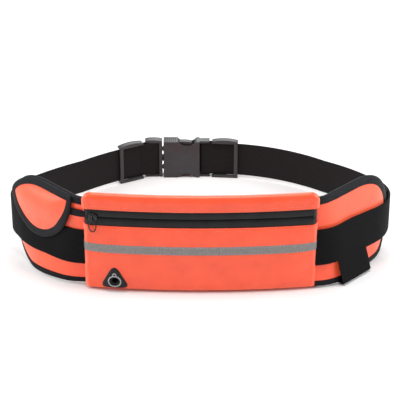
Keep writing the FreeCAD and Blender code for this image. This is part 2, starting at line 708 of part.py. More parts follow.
def make_adjuster(side):
    """A three-bar slide: its far bar is inside the webbing, the other two bars outside it."""
    distance = LINE_END[side] - mm(f"{side}_adjuster_lead")
    middle = station(side, distance, 0)
    out = station(side, distance, 1) - middle
    turn = FreeCAD.Rotation(V(0, 1, 0), out)
    up = mm("band_back_bottom") + mm("band_width") / 2
    body = new_body(f"{side}_adjuster", FreeCAD.Placement(middle + V(0, 0, up), turn))
    half_length = "Sizes.adjuster_length / 2"
    half_height = "Sizes.adjuster_height / 2"
    ends = (f"-{half_length}", f"{half_length} - Sizes.adjuster_bar")
    near, far = ends if side == "right" else reversed(ends)
    blocks = (
        (f"-{half_length}", f"-{half_height}", "Sizes.adjuster_length", "Sizes.adjuster_rail",
         "Sizes.adjuster_inner", "Sizes.adjuster_outer"),
        (f"-{half_length}", f"{half_height} - Sizes.adjuster_rail", "Sizes.adjuster_length",
         "Sizes.adjuster_rail", "Sizes.adjuster_inner", "Sizes.adjuster_outer"),
        (far, f"-{half_height}", "Sizes.adjuster_bar", "Sizes.adjuster_height",
         "Sizes.adjuster_inner", "Sizes.far_bar_outer"),
        (near, f"-{half_height}", "Sizes.adjuster_bar", "Sizes.adjuster_height",
         "Sizes.near_bar_inner", "Sizes.near_bar_outer"),
        ("-Sizes.adjuster_bar / 2", f"-{half_height}", "Sizes.adjuster_bar",
         "Sizes.adjuster_height", "Sizes.centre_bar_inner", "Sizes.adjuster_outer"),
    )
    for left, bottom, width, height, inner, outer in blocks:
        sketch = new_sketch(body, "XZ_Plane")
        sketch.setExpression(".AttachmentOffset.Base.z", f"-({outer})")
        rectangle(sketch, left, bottom, width, height)
        pad(body, sketch, f"{outer} - ({inner})")


# ---------------------------------------------------------------- zip slider and pull

ZIP_UP = (mm("zip_bottom") + mm("zip_top")) / 2
SLIDER_TURN = math.radians(mm("slider_angle"))
SLIDER = FreeCAD.Placement(
    polar(FRONT_CENTRE, mm("front_radius") + mm("pouch_front"), -math.pi / 2 - SLIDER_TURN)
    + V(0, 0, ZIP_UP),
    FreeCAD.Rotation(V(0, 0, 1), -mm("slider_angle")))


def slider_block(body, width, height, front, back, bottom=None):
    """A block across the slider's middle, between two distances in from the pouch's front."""
    sketch = new_sketch(body, "XZ_Plane")
    sketch.setExpression(".AttachmentOffset.Base.z", f"-({back})")
    rectangle(sketch, f"-({width}) / 2", bottom or f"-({height}) / 2", width, height)
    pad(body, sketch, f"({back}) - ({front})")


def make_slider():
    """Front and rear plates joined by a neck through the zip, and an upright bail."""
    body = new_body("zip_slider", SLIDER)
    plate_back = "Sizes.tape_recess - Sizes.slider_gap"
    plate_front = f"{plate_back} - Sizes.slider_plate"
    rear = "Sizes.slider_depth - Sizes.slider_plate"
    slider_block(body, "Sizes.slider_length", "Sizes.slider_height", plate_front, plate_back)
    slider_block(body, "Sizes.neck_length", "Sizes.neck_thickness", plate_back, rear)
    slider_block(body, "Sizes.slider_length", "Sizes.slider_height", rear, "Sizes.slider_depth")
    post = "Sizes.bail_wire"
    for bottom in ("-Sizes.bail_half_height", "Sizes.bail_half_height - Sizes.bail_wire"):
        slider_block(body, post, post, "-Sizes.bail_reach", plate_front, bottom)
    slider_block(body, post, "2 * Sizes.bail_half_height", "-Sizes.bail_reach",
                 "Sizes.bail_wire - Sizes.bail_reach")


def make_pull():
    """A long flat loop that hangs through the bail, rounder at its lower end."""
    body = new_body("zip_pull", SLIDER)
    sketch = new_sketch(body, "XZ_Plane")
    plate_front = "(Sizes.tape_recess - Sizes.slider_gap - Sizes.slider_plate)"
    bail_back = "(Sizes.bail_wire - Sizes.bail_reach)"
    sketch.setExpression(".AttachmentOffset.Base.z",
                         f"-({plate_front} + {bail_back}) / 2")
    for inset in (0, mm("pull_wire")):
        half = mm("pull_width") / 2 - inset
        top = -mm("pull_drop") - inset
        bottom = -mm("pull_drop") - mm("pull_length") + inset
        corners = [V(-half, bottom, 0), V(half, bottom, 0), V(half, top, 0), V(-half, top, 0)]
        sketch.addGeometry(rounded(corners, [half * 0.98, half * 0.98, half / 2, half / 2]))
    pad(body, sketch, "Sizes.pull_thickness", symmetric=True)


# ---------------------------------------------------------------- the pack

def build():
    make_back_panel()
    make_front_panel()
    make_top_panel()
    make_zip()
    make_zip_stop("zip_start_stop", "left")
    make_zip_stop("zip_end_stop", "right")
    make_reflective_strip()
    make_cord_port()
    for side in ("left", "right"):
        make_wing(side)
        make_band(side)
        make_webbing(side)
        make_adjuster(side)
    make_pocket()
    make_flap()
    make_patches()
    make_bottle_strap()
    make_housing()
    make_male_frame()
    make_prong("buckle_prong_upper", 1)
    make_prong("buckle_prong_lower", -1)
    half = mm("webbing_thickness") / 2
    right_bar_end = mm("mouth_across") + mm("housing_length") + mm("frame_length")
    right_turn = right_bar_end - mm("bar_length")
    right_ends = [station("right", LINE_END["right"], offset) for offset in (-half, half)]
    make_loop("right", right_turn, right_ends, right_bar_end)
    make_tail("right", right_bar_end)
    left_bar_start = mm("mouth_across") + mm("male_bar_start")
    left_ends = [station("left", LINE_END["left"], offset) for offset in (-half, half)]
    make_loop("left", left_bar_start + mm("bar_length"), left_ends, left_bar_start)
    make_tail("left", left_bar_start)
    make_slider()
    make_pull()


def export():
    """Writes each part, once nothing has failed."""
    doc.recompute()
    for item in doc.Objects:
        if "Invalid" in item.State or "Error" in item.State:
            raise RuntimeError(f"{item.Label} failed: {item.State}")
    os.makedirs("parts", exist_ok=True)
    for part in parts:
        shape = part.Shape
        if shape.isNull() or not shape.isValid() or not shape.Solids:
            raise RuntimeError(f"{part.Label} has no valid solid")
        shape.exportStep(f"parts/{part.Label}.step")
        print(f"{part.Label:26s} {len(shape.Solids)} solid  {shape.Volume / 1000:8.3f} cm3")
    print(len(parts), "parts")


build()
export()
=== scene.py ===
import math

import bmesh
import bpy
import numpy as np
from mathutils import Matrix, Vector
from mathutils.bvhtree import BVHTree


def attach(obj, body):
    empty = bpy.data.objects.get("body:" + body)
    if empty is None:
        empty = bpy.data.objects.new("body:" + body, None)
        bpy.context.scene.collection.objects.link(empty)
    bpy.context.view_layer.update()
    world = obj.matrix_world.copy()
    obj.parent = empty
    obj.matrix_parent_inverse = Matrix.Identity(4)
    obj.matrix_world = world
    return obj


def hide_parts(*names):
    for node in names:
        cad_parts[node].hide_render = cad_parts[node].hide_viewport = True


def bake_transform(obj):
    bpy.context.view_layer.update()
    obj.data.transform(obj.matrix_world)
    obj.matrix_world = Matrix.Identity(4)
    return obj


# Running waist pack: its cloth, tapes, stitching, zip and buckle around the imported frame.
# Lengths are in millimetres until a mesh is made. Distances run along a side's belt line from
# the pouch's middle, offsets run out from the belt line, and heights run up from the ground.

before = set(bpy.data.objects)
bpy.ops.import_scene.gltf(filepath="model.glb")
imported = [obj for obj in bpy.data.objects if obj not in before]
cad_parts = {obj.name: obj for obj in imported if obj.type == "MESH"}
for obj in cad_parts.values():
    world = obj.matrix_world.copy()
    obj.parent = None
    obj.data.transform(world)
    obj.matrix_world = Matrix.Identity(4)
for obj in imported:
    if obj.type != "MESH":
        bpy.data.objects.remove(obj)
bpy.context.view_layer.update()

MM = 0.001
UP = Vector((0, 0, 1))


# ---------------------------------------------------------------- belt line

FRONT_CENTRE = Vector((0, 697))
FRONT_RADIUS = 812
POUCH_HALF = 111.5
EDGE_ANGLE = math.asin(POUCH_HALF / FRONT_RADIUS)
CORNER_RADIUS = 40
SIDE_RADIUS = 62
DIAGONAL = math.radians(45)
DIAGONAL_RUN = 52
LEFT_BACK_RADIUS = 300
BUCKLE_LINE = 114.7
LEFT_STRAP_END = Vector((66, 110.3))
RIGHT_STRAP_END_ACROSS = 12


def polar(centre, radius, angle):
    return centre + Vector((math.cos(angle), math.sin(angle))) * radius


def inner_touching_centre(small_centre, small_radius, passing, radius):
    """The centre of a circle that a smaller one touches from inside, through a point."""
    apart = passing - small_centre
    length = apart.length
    along = ((radius - small_radius) ** 2 - radius ** 2 + length ** 2) / (2 * length)
    aside = math.sqrt((radius - small_radius) ** 2 - along ** 2)
    forward = apart.normalized()
    sideways = Vector((-forward.y, forward.x))
    centres = [small_centre + forward * along + sideways * way * aside for way in (-1, 1)]
    return min(centres, key=lambda centre: centre.y)


def belt_line(left):
    """One side's belt line as stretches: centre, radius, first and last angle, or a straight."""
    front_end = EDGE_ANGLE - math.pi / 2
    corner_centre = polar(FRONT_CENTRE, FRONT_RADIUS - CORNER_RADIUS, front_end)
    out = Vector((math.sin(DIAGONAL), -math.cos(DIAGONAL)))
    run_start = corner_centre + out * CORNER_RADIUS
    run_end = run_start + Vector((math.cos(DIAGONAL), math.sin(DIAGONAL))) * DIAGONAL_RUN
    side_centre = run_end - out * SIDE_RADIUS
    if left:
        back_radius = LEFT_BACK_RADIUS
        back_centre = inner_touching_centre(side_centre, SIDE_RADIUS, LEFT_STRAP_END, back_radius)
        last_arm = LEFT_STRAP_END - back_centre
        last_angle = math.atan2(last_arm.y, last_arm.x)
    else:
        across = side_centre.x - RIGHT_STRAP_END_ACROSS
        behind = BUCKLE_LINE - side_centre.y
        back_radius = (across ** 2 + behind ** 2 - SIDE_RADIUS ** 2) / (2 * (behind - SIDE_RADIUS))
        back_centre = Vector((RIGHT_STRAP_END_ACROSS, BUCKLE_LINE - back_radius))
        last_angle = math.pi / 2
    join_arm = side_centre - back_centre
    join = math.atan2(join_arm.y, join_arm.x)
    return [
        ("arc", FRONT_CENTRE, FRONT_RADIUS, -math.pi / 2, front_end),
        ("arc", corner_centre, CORNER_RADIUS, front_end, DIAGONAL - math.pi / 2),
        ("run", run_start, run_end, out),
        ("arc", side_centre, SIDE_RADIUS, DIAGONAL - math.pi / 2, join),
        ("arc", back_centre, back_radius, join, last_angle),
    ]


LINES = {"left": belt_line(True), "right": belt_line(False)}


def stretch_length(stretch):
    if stretch[0] == "run":
        return (stretch[2] - stretch[1]).length
    return stretch[2] * (stretch[4] - stretch[3])


POUCH_EDGE = stretch_length(LINES["left"][0])
LINE_END = {side: sum(stretch_length(item) for item in LINES[side]) for side in LINES}

# how far out each wing's foot stands, and the distances where that starts, is most and ends
FLARES = {"left": (12.5, 112, 164, 208), "right": (9.5, 44, 150, 225)}
FLARE_HEIGHT = 62.0
LEAN = 4.5
LEAN_HEIGHTS = (58.0, 98.0)
LEAN_STARTS = (112, 135)


def flare(side, distance, up):
    """How far a wing stands out past its belt line at its foot, and leans in at its top."""
    low, high = LEAN_HEIGHTS
    if up > low:
        return -LEAN * ((up - low) / (high - low)) ** 2 * smooth_step(*LEAN_STARTS, distance)
    most, start, middle, stop = FLARES[side]
    if not start < distance < stop or up >= FLARE_HEIGHT:
        return 0.0
    edge = start if distance < middle else stop
    along = (distance - edge) / (middle - edge)
    return most * math.sin(math.pi / 2 * along) ** 1.5 * (1 - up / FLARE_HEIGHT) ** 1.3


def spot(side, distance, offset=0.0, up=0.0):
    """A point of the standing belt, from its distance, its offset and its height."""
    return plan_spot(side, distance, offset + flare(side, distance, up), up)


def plan_spot(side, distance, offset=0.0, up=0.0):
    """The point at a distance along a side's belt line, an offset out from it and a height."""
    last = LINES[side][-1]
    for stretch in LINES[side]:
        length = stretch_length(stretch)
        if distance <= length or stretch is last:
            break
        distance -= length
    if stretch[0] == "run":
        _, start, stop, out = stretch
        point = start + (stop - start).normalized() * distance + out * offset
    else:
        _, centre, radius, first, _ = stretch
        point = polar(centre, radius + offset, first + distance / radius)
    return Vector((-point.x if side == "left" else point.x, point.y, up))


def way_out(side, distance):
    return plan_spot(side, distance, 1) - plan_spot(side, distance, 0)


def diagonally(point):
    """How far along the wing's diagonal run a right-hand point is."""
    return (point.x + point.y) / math.sqrt(2)


# distances against how far back, and how far along the diagonal, a wing's point is
_SCALE = np.arange(60, 275, 0.25)
_BEHIND = np.array([plan_spot("right", distance).y for distance in _SCALE])
_DIAGONALLY = np.array([diagonally(plan_spot("right", distance)) for distance in _SCALE])


def distance_behind(value):
    return float(np.interp(value, _BEHIND, _SCALE))


def distance_diagonally(value):
    return float(np.interp(value, _DIAGONALLY, _SCALE))


# ---------------------------------------------------------------- small helpers

def smooth_step(low, high, value):
    share = min(1.0, max(0.0, (value - low) / (high - low)))
    return share * share * (3 - 2 * share)


def mix(first, last, share):
    return first + (last - first) * share


def rolled(depth, edge):
    """How far a rounded edge has risen, from 0 at the edge to 1 at its own width."""
    if depth >= edge:
        return 1.0
    return math.sqrt(max(0.0, 1 - (1 - max(0.0, depth) / edge) ** 2))


def full_turn(count):
    """Even angles round a circle."""
    return [2 * math.pi * step / count for step in range(count)]


def headings(points, closed=False):
    """The way along a path at each of its points."""
    count = len(points)
    ways = []
    for index, point in enumerate(points):
        before = points[index - 1] if closed or index else point
        after = points[(index + 1) % count] if closed or index < count - 1 else point
        ways.append((after - before).normalized())
    return ways


def evenly(first, last, pitch):
    count = max(1, round(abs(last - first) / pitch))
    return [mix(first, last, step / count) for step in range(count + 1)]


def edged(first, last, pitch, first_edge, last_edge, steps):
    """Positions at a pitch, closer together over a rounded edge at either end."""
    def closer(edge):
        return [edge * (1 - math.cos(math.pi / 2 * step / steps)) for step in range(steps)]
    start = [first + depth for depth in closer(first_edge)]
    stop = [last - depth for depth in reversed(closer(last_edge))]
    return start + evenly(first + first_edge, last - last_edge, pitch) + stop


def resampled(points, pitch, closed=False):
    """Points at an even pitch along a path given by many points of any dimension."""
    route = np.array([tuple(point) for point in (points + points[:1] if closed else points)])
    lengths = np.concatenate([[0], np.cumsum(np.linalg.norm(np.diff(route, axis=0), axis=1))])
    count = max(2, round(lengths[-1] / pitch))
    places = np.linspace(0, lengths[-1], count + 1)
    columns = [np.interp(places, lengths, route[:, axis]) for axis in range(route.shape[1])]
    result = [Vector(row) for row in zip(*columns)]
    return result[:-1] if closed else result


def relaxed(points, passes, closed=True):
    """A path with its corners rounded by averaging each point with its neighbours."""
    for _ in range(passes):
        count = len(points)
        moved = [
            (points[index - 1] + points[index] * 2 + points[(index + 1) % count]) / 4
            for index in range(count)]
        if not closed:
            moved[0], moved[-1] = points[0], points[-1]
        points = moved
    return points


def rounded_path(corners, radius, pitch):
    """A plane path with its inner corners turned into arcs, as evenly spaced points."""
    path = [corners[0]]
    for before, corner, after in zip(corners, corners[1:], corners[2:]):
        to_before = (before - corner).normalized()
        to_after = (after - corner).normalized()
        half = to_before.angle(to_after) / 2
        centre = corner + (to_before + to_after).normalized() * radius / math.sin(half)
        reach = radius / math.tan(half)
        first = corner + to_before * reach - centre
        last = corner + to_after * reach - centre
        path += [centre + first.slerp(last, step / 12) for step in range(13)]
    path.append(corners[-1])
    return resampled(path, pitch)


# ---------------------------------------------------------------- materials

class Finish:
    """A procedural material built on one principled shader."""

    def __init__(self, name, **sockets):
        self.material = bpy.data.materials.new(name)
        self.material.use_nodes = True
        self.tree = self.material.node_tree
        self.surface = self.tree.nodes["Principled BSDF"]
        for socket, value in sockets.items():
            self.surface.inputs[socket.replace("_", " ")].default_value = value

    def node(self, kind, inputs=None, **settings):
        """A node's main output, with inputs given as values or as other nodes' outputs."""
        made = self.tree.nodes.new(kind)
        for setting, value in settings.items():
            setattr(made, setting, value)
        for socket, value in (inputs or {}).items():
            if isinstance(value, bpy.types.NodeSocket):
                self.tree.links.new(value, made.inputs[socket])
            else:
                made.inputs[socket].default_value = value
        return next(output for output in made.outputs if output.enabled)

    def place(self):
        made = self.tree.nodes.new("ShaderNodeTexCoord")
        return made.outputs["Object"]

    def maths(self, operation, first, second=0.0):
        return self.node("ShaderNodeMath", {0: first, 1: second}, operation=operation)

    def noise(self, scale, detail, roughness=0.5):
        return self.node("ShaderNodeTexNoise", {
            "Vector": self.place(), "Scale": scale, "Detail": detail, "Roughness": roughness})

    def cells(self, scale):
        return self.node("ShaderNodeTexVoronoi", {"Vector": self.place(), "Scale": scale})

    def ridges(self, along, across, period):
        """Even ridges over the cloth's own coordinates, from 0 to 1, square to a direction."""
        cloth = self.node("ShaderNodeUVMap", uv_map="Cloth")
        slope = self.node("ShaderNodeVectorMath", {
            0: cloth, 1: (along, across, 0)}, operation="MULTIPLY")
        parts = self.tree.nodes.new("ShaderNodeSeparateXYZ")
        self.tree.links.new(slope, parts.inputs[0])
        total = self.maths("ADD", parts.outputs[0], parts.outputs[1])
        wave = self.maths("SINE", self.maths("MULTIPLY", total, 2 * math.pi / (period * MM)))
        return self.maths("ADD", self.maths("MULTIPLY", wave, 0.5), 0.5)

    def colours(self, factor, dark, light, low, high):
        """The base colour: dark up to a low factor, light past a high one."""
        ramp = self.tree.nodes.new("ShaderNodeValToRGB")
        ramp.color_ramp.elements[0].position = low
        ramp.color_ramp.elements[0].color = (*dark, 1)
        ramp.color_ramp.elements[1].position = high
        ramp.color_ramp.elements[1].color = (*light, 1)
        self.tree.links.new(factor, ramp.inputs[0])
        self.tree.links.new(ramp.outputs[0], self.surface.inputs["Base Color"])

    def roughness(self, factor, low, high):
        spread = self.node("ShaderNodeMapRange", {
            "Value": factor, "To Min": low, "To Max": high})
        self.tree.links.new(spread, self.surface.inputs["Roughness"])

    def raised(self, height, depth, strength=1.0):
        """Adds relief of a depth in millimetres to what there is already."""
        bump = self.tree.nodes.new("ShaderNodeBump")
        bump.inputs["Distance"].default_value = depth * MM
        bump.inputs["Strength"].default_value = strength
        self.tree.links.new(height, bump.inputs["Height"])
        normal = self.surface.inputs["Normal"]
        if normal.is_linked:
            self.tree.links.new(normal.links[0].from_socket, bump.inputs["Normal"])
        self.tree.links.new(bump.outputs[0], normal)


def knit(name, dark, light, painted_glow):
    """Stretch jersey over foam: a fine knit, faint mottling, a soft pale sheen and a faint orange
    emission, a painted glow that brightens the cloth beyond what it reflects.
    """
    made = Finish(
        name, Roughness=0.38, Specular_IOR_Level=0.6, Sheen_Weight=0.7, Sheen_Roughness=0.5,
        # the emission below is a painted glow: the cloth lights itself a little, though it is no
        # lamp
        Sheen_Tint=(1.0, 0.70, 0.50, 1), Emission_Color=(1.0, 0.085, 0.025, 1),
        Emission_Strength=painted_glow)
    made.colours(made.noise(55, 4.0, 0.6), dark, light, 0.3, 0.7)
    made.raised(made.cells(1500), 0.06, 0.6)
    made.raised(made.noise(160, 3.0), 0.25, 0.35)
    return made.material


def woven(name, dark, light, ribs, depth, roughness, sheen, gloss):
    """Black cloth with ribs, each given as along, across, period and share of the relief. The
    first ribs also colour the cloth, darker in their grooves and lighter on their tops: painted
    shade and highlight.
    """
    made = Finish(name, Roughness=roughness, Specular_IOR_Level=gloss, Sheen_Weight=sheen,
                  Sheen_Roughness=0.4, Sheen_Tint=(0.75, 0.78, 0.85, 1))
    for index, (along, across, period, share) in enumerate(ribs):
        ridge = made.ridges(along, across, period)
        # painted shade and highlight: the first ribs' grooves are coloured darker and their tops
        # lighter
        if index == 0:
            made.colours(ridge, dark, light, 0.1, 0.95)
        made.raised(ridge, depth * share)
    made.raised(made.noise(900, 2.0), 0.05, 0.5)
    return made.material


def moulded(name, dark, light, low, high, grain=0.03, scale=700, **sockets):
    """Plastic, rubber or lacquer with a fine grain and uneven gloss."""
    made = Finish(name, **sockets)
    made.colours(made.noise(60, 4.0, 0.6), dark, light, 0.3, 0.75)
    made.roughness(made.noise(140, 4.0, 0.65), low, high)
    made.raised(made.noise(scale, 2.0), grain, 0.5)
    return made.material


def beads():
    """Grey reflective tape: glass beads in a dull metallic coat, with faint cross wear."""
    made = Finish("reflective_tape", Metallic=0.35, Roughness=0.5)
    made.colours(made.noise(1300, 2.0, 0.7), (0.14, 0.135, 0.13), (0.32, 0.305, 0.295), 0.3, 0.7)
    made.raised(made.cells(2600), 0.05, 0.7)
    return made.material


MATERIALS = {
    # the orange jersey's last value is the strength of its painted glow, an emission that
    # brightens it
    "neoprene": knit("orange_jersey", (0.80, 0.054, 0.010), (0.93, 0.076, 0.016), 0.14),
    "thread_orange": moulded("orange_thread", (0.90, 0.13, 0.05), (1.0, 0.20, 0.09), 0.4, 0.6,
                             Sheen_Weight=0.3),
    "thread_black": moulded("black_thread", (0.012, 0.012, 0.013), (0.03, 0.03, 0.033), 0.5, 0.7,
                            Specular_IOR_Level=0.2),
    "binding": woven("black_binding", (0.004, 0.004, 0.0055), (0.012, 0.013, 0.016),
                     ((1, 1, 1.0, 1), (1, -1, 1.0, 0.5)), 0.06, 0.5, 0.04, 0.14),
    "elastic": woven("black_elastic", (0.003, 0.003, 0.0035), (0.010, 0.010, 0.011),
                     ((0, 1, 1.9, 1), (1, 0, 0.9, 0.35)), 0.16, 0.8, 0.02, 0.08),
    "webbing": woven("black_webbing", (0.004, 0.004, 0.0045), (0.013, 0.013, 0.014),
                     ((0, 1, 1.5, 1), (1, 0.25, 1.0, 0.5)), 0.12, 0.7, 0.03, 0.14),
    "zip_tape": moulded("coated_zip_tape", (0.005, 0.005, 0.006), (0.012, 0.012, 0.014),
                        0.26, 0.44, 0.05, 260, Specular_IOR_Level=0.22, Coat_Weight=0.04,
                        Coat_Roughness=0.25),
    "zip_teeth": moulded("zip_coil", (0.008, 0.008, 0.009), (0.02, 0.02, 0.022), 0.35, 0.55),
    "zip_metal": moulded("black_lacquer", (0.008, 0.008, 0.009), (0.02, 0.02, 0.023), 0.2, 0.36,
                         0.02, 900, Metallic=0.5, Coat_Weight=0.2, Coat_Roughness=0.2),
    "reflective": beads(),
    "port_rubber": moulded("black_rubber", (0.006, 0.0065, 0.008), (0.015, 0.016, 0.019),
                           0.45, 0.65, 0.05, 900, Specular_IOR_Level=0.3),
    "port_ring": moulded("grey_rubber", (0.36, 0.37, 0.38), (0.50, 0.51, 0.52), 0.35, 0.5),
    "hook_and_loop": moulded("hook_pile", (0.006, 0.006, 0.007), (0.02, 0.02, 0.022),
                             0.8, 0.95, 0.6, 1600, Specular_IOR_Level=0.2, Sheen_Weight=0.2),
    "buckle_plastic": moulded("dark_acetal", (0.020, 0.021, 0.024), (0.034, 0.035, 0.039),
                              0.34, 0.46, 0.03, 1100, Specular_IOR_Level=0.4),
}


# ---------------------------------------------------------------- mesh building

def new_piece(name, points, faces, finish, corners=None, facing=None):
    """A smooth mesh object; corners are cloth coordinates, one for each face's corners."""
    mesh = bpy.data.meshes.new(name)
    mesh.from_pydata([tuple(point * MM) for point in points], [], faces)
    if corners:
        layer = mesh.uv_layers.new(name="Cloth")
        flat = np.array(corners, dtype=np.float32) * MM
        layer.data.foreach_set("uv", flat.ravel())
    mesh.materials.append(MATERIALS[finish])
    work = bmesh.new()
    work.from_mesh(mesh)
    if facing is None:
        bmesh.ops.recalc_face_normals(work, faces=work.faces)
    else:
        total = sum((face.normal * face.calc_area() for face in work.faces), Vector())
        if total.dot(facing) < 0:
            bmesh.ops.reverse_faces(work, faces=work.faces)
    work.to_mesh(mesh)
    work.free()
    piece = bpy.data.objects.new(name, mesh)
    bpy.context.scene.collection.objects.link(piece)
    shade(piece)
    return piece


def shade(piece, sharp=50):
    piece.data.shade_smooth()
    piece.data.set_sharp_from_angle(angle=math.radians(sharp))


def skin(name, rings, finish, closed=True, capped=True, looped=False, facing=None):
    """A surface through rings of points, with cloth coordinates along and around it."""
    count = len(rings[0])
    total = len(rings)
    points = [point for ring in rings for point in ring]
    spine = [sum(ring, Vector((0, 0, 0))) / count for ring in rings]
    along = [0.0]
    for index in range(total if looped else total - 1):
        along.append(along[-1] + (spine[(index + 1) % total] - spine[index]).length)
    around = []
    for ring in rings:
        reached = [0.0]
        for index in range(count if closed else count - 1):
            reached.append(reached[-1] + (ring[(index + 1) % count] - ring[index]).length)
        around.append(reached)
    faces = []
    corners = []
    for row in range(total if looped else total - 1):
        after = (row + 1) % total
        for column in range(count if closed else count - 1):
            beside = (column + 1) % count
            faces.append((row * count + column, row * count + beside,
                          after * count + beside, after * count + column))
            corners += [(along[row], around[row][column]), (along[row], around[row][column + 1]),
                        (along[row + 1], around[after][column + 1]),
                        (along[row + 1], around[after][column])]
    if capped and closed and not looped:
        for row, order in ((0, range(count)), (total - 1, range(count - 1, -1, -1))):
            faces.append([row * count + index for index in order])
            corners += [(along[row], around[row][index]) for index in order]
    return new_piece(name, points, faces, finish, corners, facing)


def settle(piece):
    """Applies a piece's modifiers to its mesh."""
    depsgraph = bpy.context.evaluated_depsgraph_get()
    mesh = bpy.data.meshes.new_from_object(piece.evaluated_get(depsgraph), depsgraph=depsgraph)
    piece.modifiers.clear()
    piece.data = mesh


def thicken(piece, thickness):
    """Gives an open skin a thickness, inwards from its face."""
    solid = piece.modifiers.new("Thickness", "SOLIDIFY")
    solid.thickness = thickness * MM
    solid.offset = -1
    settle(piece)
    shade(piece)


def finished(piece, finish, body, *nodes):
    """Puts a piece on its body, if it keeps to one, in place of the frame's nodes."""
    if body:
        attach(piece, body)
    if nodes:
        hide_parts(*nodes)
    return piece


def joined(pieces, name):
    """Several pieces as one object with one mesh."""
    work = bmesh.new()
    for piece in pieces:
        work.from_mesh(piece.data)
    mesh = pieces[0].data
    work.to_mesh(mesh)
    work.free()
    for piece in pieces[1:]:
        bpy.data.objects.remove(piece)
    pieces[0].name = name
    shade(pieces[0])
    return pieces[0]


CLOTH_FRAMES = 20
CLOTH_SLACK = 0.012


def swell(piece, is_free, pressure, cap):
    """Inflates the free part of a skin as cloth, pinned elsewhere, and caps how far it moves."""
    rest = [vertex.co.copy() for vertex in piece.data.vertices]
    pinned = [index for index, place in enumerate(rest) if not is_free(place / MM)]
    pins = piece.vertex_groups.new(name="pins")
    pins.add(pinned, 1.0, "REPLACE")
    cloth = piece.modifiers.new("Cloth", "CLOTH")
    settings = cloth.settings
    settings.quality = 8
    settings.mass = 0.15
    settings.tension_stiffness = 8
    settings.compression_stiffness = 8
    settings.shear_stiffness = 3
    settings.bending_stiffness = 0.3
    settings.air_damping = 2
    settings.use_pressure = True
    settings.uniform_pressure_force = pressure
    settings.vertex_group_mass = "pins"
    settings.shrink_min = -CLOTH_SLACK
    settings.effector_weights.gravity = 0
    cloth.collision_settings.use_collision = False
    cloth.collision_settings.use_self_collision = False
    for number in range(1, CLOTH_FRAMES + 1):
        bpy.context.scene.frame_set(number)
    depsgraph = bpy.context.evaluated_depsgraph_get()
    moved = [vertex.co.copy() for vertex in piece.evaluated_get(depsgraph).data.vertices]
    piece.modifiers.clear()
    piece.vertex_groups.clear()
    bpy.context.scene.frame_set(1)
    for vertex, before, after in zip(piece.data.vertices, rest, moved):
        shift = after - before
        if shift.length > 0:
            vertex.co = before + shift * (cap * MM / (cap * MM + shift.length))
    shade(piece)


class Cover:
    """The outside of a finished skin, to lay other pieces on."""

    def __init__(self, piece):
        mesh = piece.data
        points = [vertex.co / MM for vertex in mesh.vertices]
        self.tree = BVHTree.FromPolygons(points, [list(face.vertices) for face in mesh.polygons])

    def lifted(self, point, height, out):
        """The nearest point of the skin, and then a height along a way out."""
        place, _, _, _ = self.tree.find_nearest(point)
        return place + out * height


def stitches(name, route, finish, slot_name, body, length, gap, radius):
    """A row of thread stitches, sunk at their ends, along a route of points and ways out."""
    places = [point for point, _ in route]
    steps = [0.0]
    for before, after in zip(places, places[1:]):
        steps.append(steps[-1] + (after - before).length)
    count = max(1, int(steps[-1] // (length + gap)))
    pitch = steps[-1] / count
    route_points = np.array([tuple(point) for point in places])
    route_outs = np.array([tuple(out) for _, out in route])

    def at(distance, table):
        return Vector([float(np.interp(distance, steps, table[:, axis])) for axis in range(3)])

    points = []
    faces = []
    profile = ((-0.5, 0.25, -0.30), (-0.42, 0.8, -0.05), (0.0, 1.0, 0.10), (0.42, 0.8, -0.05),
               (0.5, 0.25, -0.30))
    sides = 6
    for index in range(count):
        middle = (index + 0.5) * pitch
        base = len(points)
        for share, width, rise in profile:
            distance = middle + share * length
            place = at(distance, route_points)
            out = at(distance, route_outs).normalized()
            forward = at(distance + 0.4, route_points) - at(distance - 0.4, route_points)
            across = forward.cross(out).normalized()
            for angle in full_turn(sides):
                ring = across * math.cos(angle) + out * math.sin(angle)
                points.append(place + out * rise + ring * radius * width)
        for row in range(len(profile) - 1):
            for side in range(sides):
                beside = (side + 1) % sides
                first = base + row * sides
                faces.append((first + side, first + beside, first + sides + beside,
                              first + sides + side))
        faces.append([base + side for side in range(sides)])
        last = base + (len(profile) - 1) * sides
        faces.append([last + side for side in range(sides - 1, -1, -1)])
    return finished(new_piece(name, points, faces, finish), slot_name, body)


def flat_section(width, thickness):
    """A strap's section, flat with round edges, as pairs of across and out."""
    half = width / 2 - thickness / 2
    radius = thickness / 2
    face = [mix(-half, half, step / 8) for step in range(9)]
    turn = [math.pi / 2 - math.pi * step / 4 for step in range(1, 4)]
    section = [(across, radius) for across in face]
    section += [(half + radius * math.cos(angle), radius * math.sin(angle)) for angle in turn]
    section += [(across, -radius) for across in reversed(face)]
    section += [(-half - radius * math.cos(angle), -radius * math.sin(angle)) for angle in turn]
    return section


def strap(name, line, width, thickness, finish):
    """A strap along a line of centre points, ways out and directions across."""
    section = flat_section(width, thickness)
    rings = [
        [point + across * side + out * deep for side, deep in section]
        for point, out, across in line]
    return skin(name, rings, finish)


def tube(name, points, radius, finish, out, closed=False, sides=10, flat=1.0):
    """A round or flattened rod along points, kept square to a fixed way out."""
    rings = []
    for point, forward in zip(points, headings(points, closed)):
        across = forward.cross(out).normalized()
        square = across.cross(forward).normalized()
        rings.append([
            point + across * radius * math.cos(angle) + square * radius * flat * math.sin(angle)
            for angle in full_turn(sides)])
    return skin(name, rings, finish, looped=closed)


# ---------------------------------------------------------------- camera, light and floor

def look_from(angle, height, distance, aim):
    heading = math.radians(angle)
    rise = math.radians(height)
    away = Vector((math.sin(heading) * math.cos(rise), -math.cos(heading) * math.cos(rise),
                   math.sin(rise)))
    return aim + away * distance


def aimed(thing, place, aim):
    thing.location = place
    thing.rotation_euler = (aim - place).to_track_quat("-Z", "Y").to_euler()
    bpy.context.scene.collection.objects.link(thing)


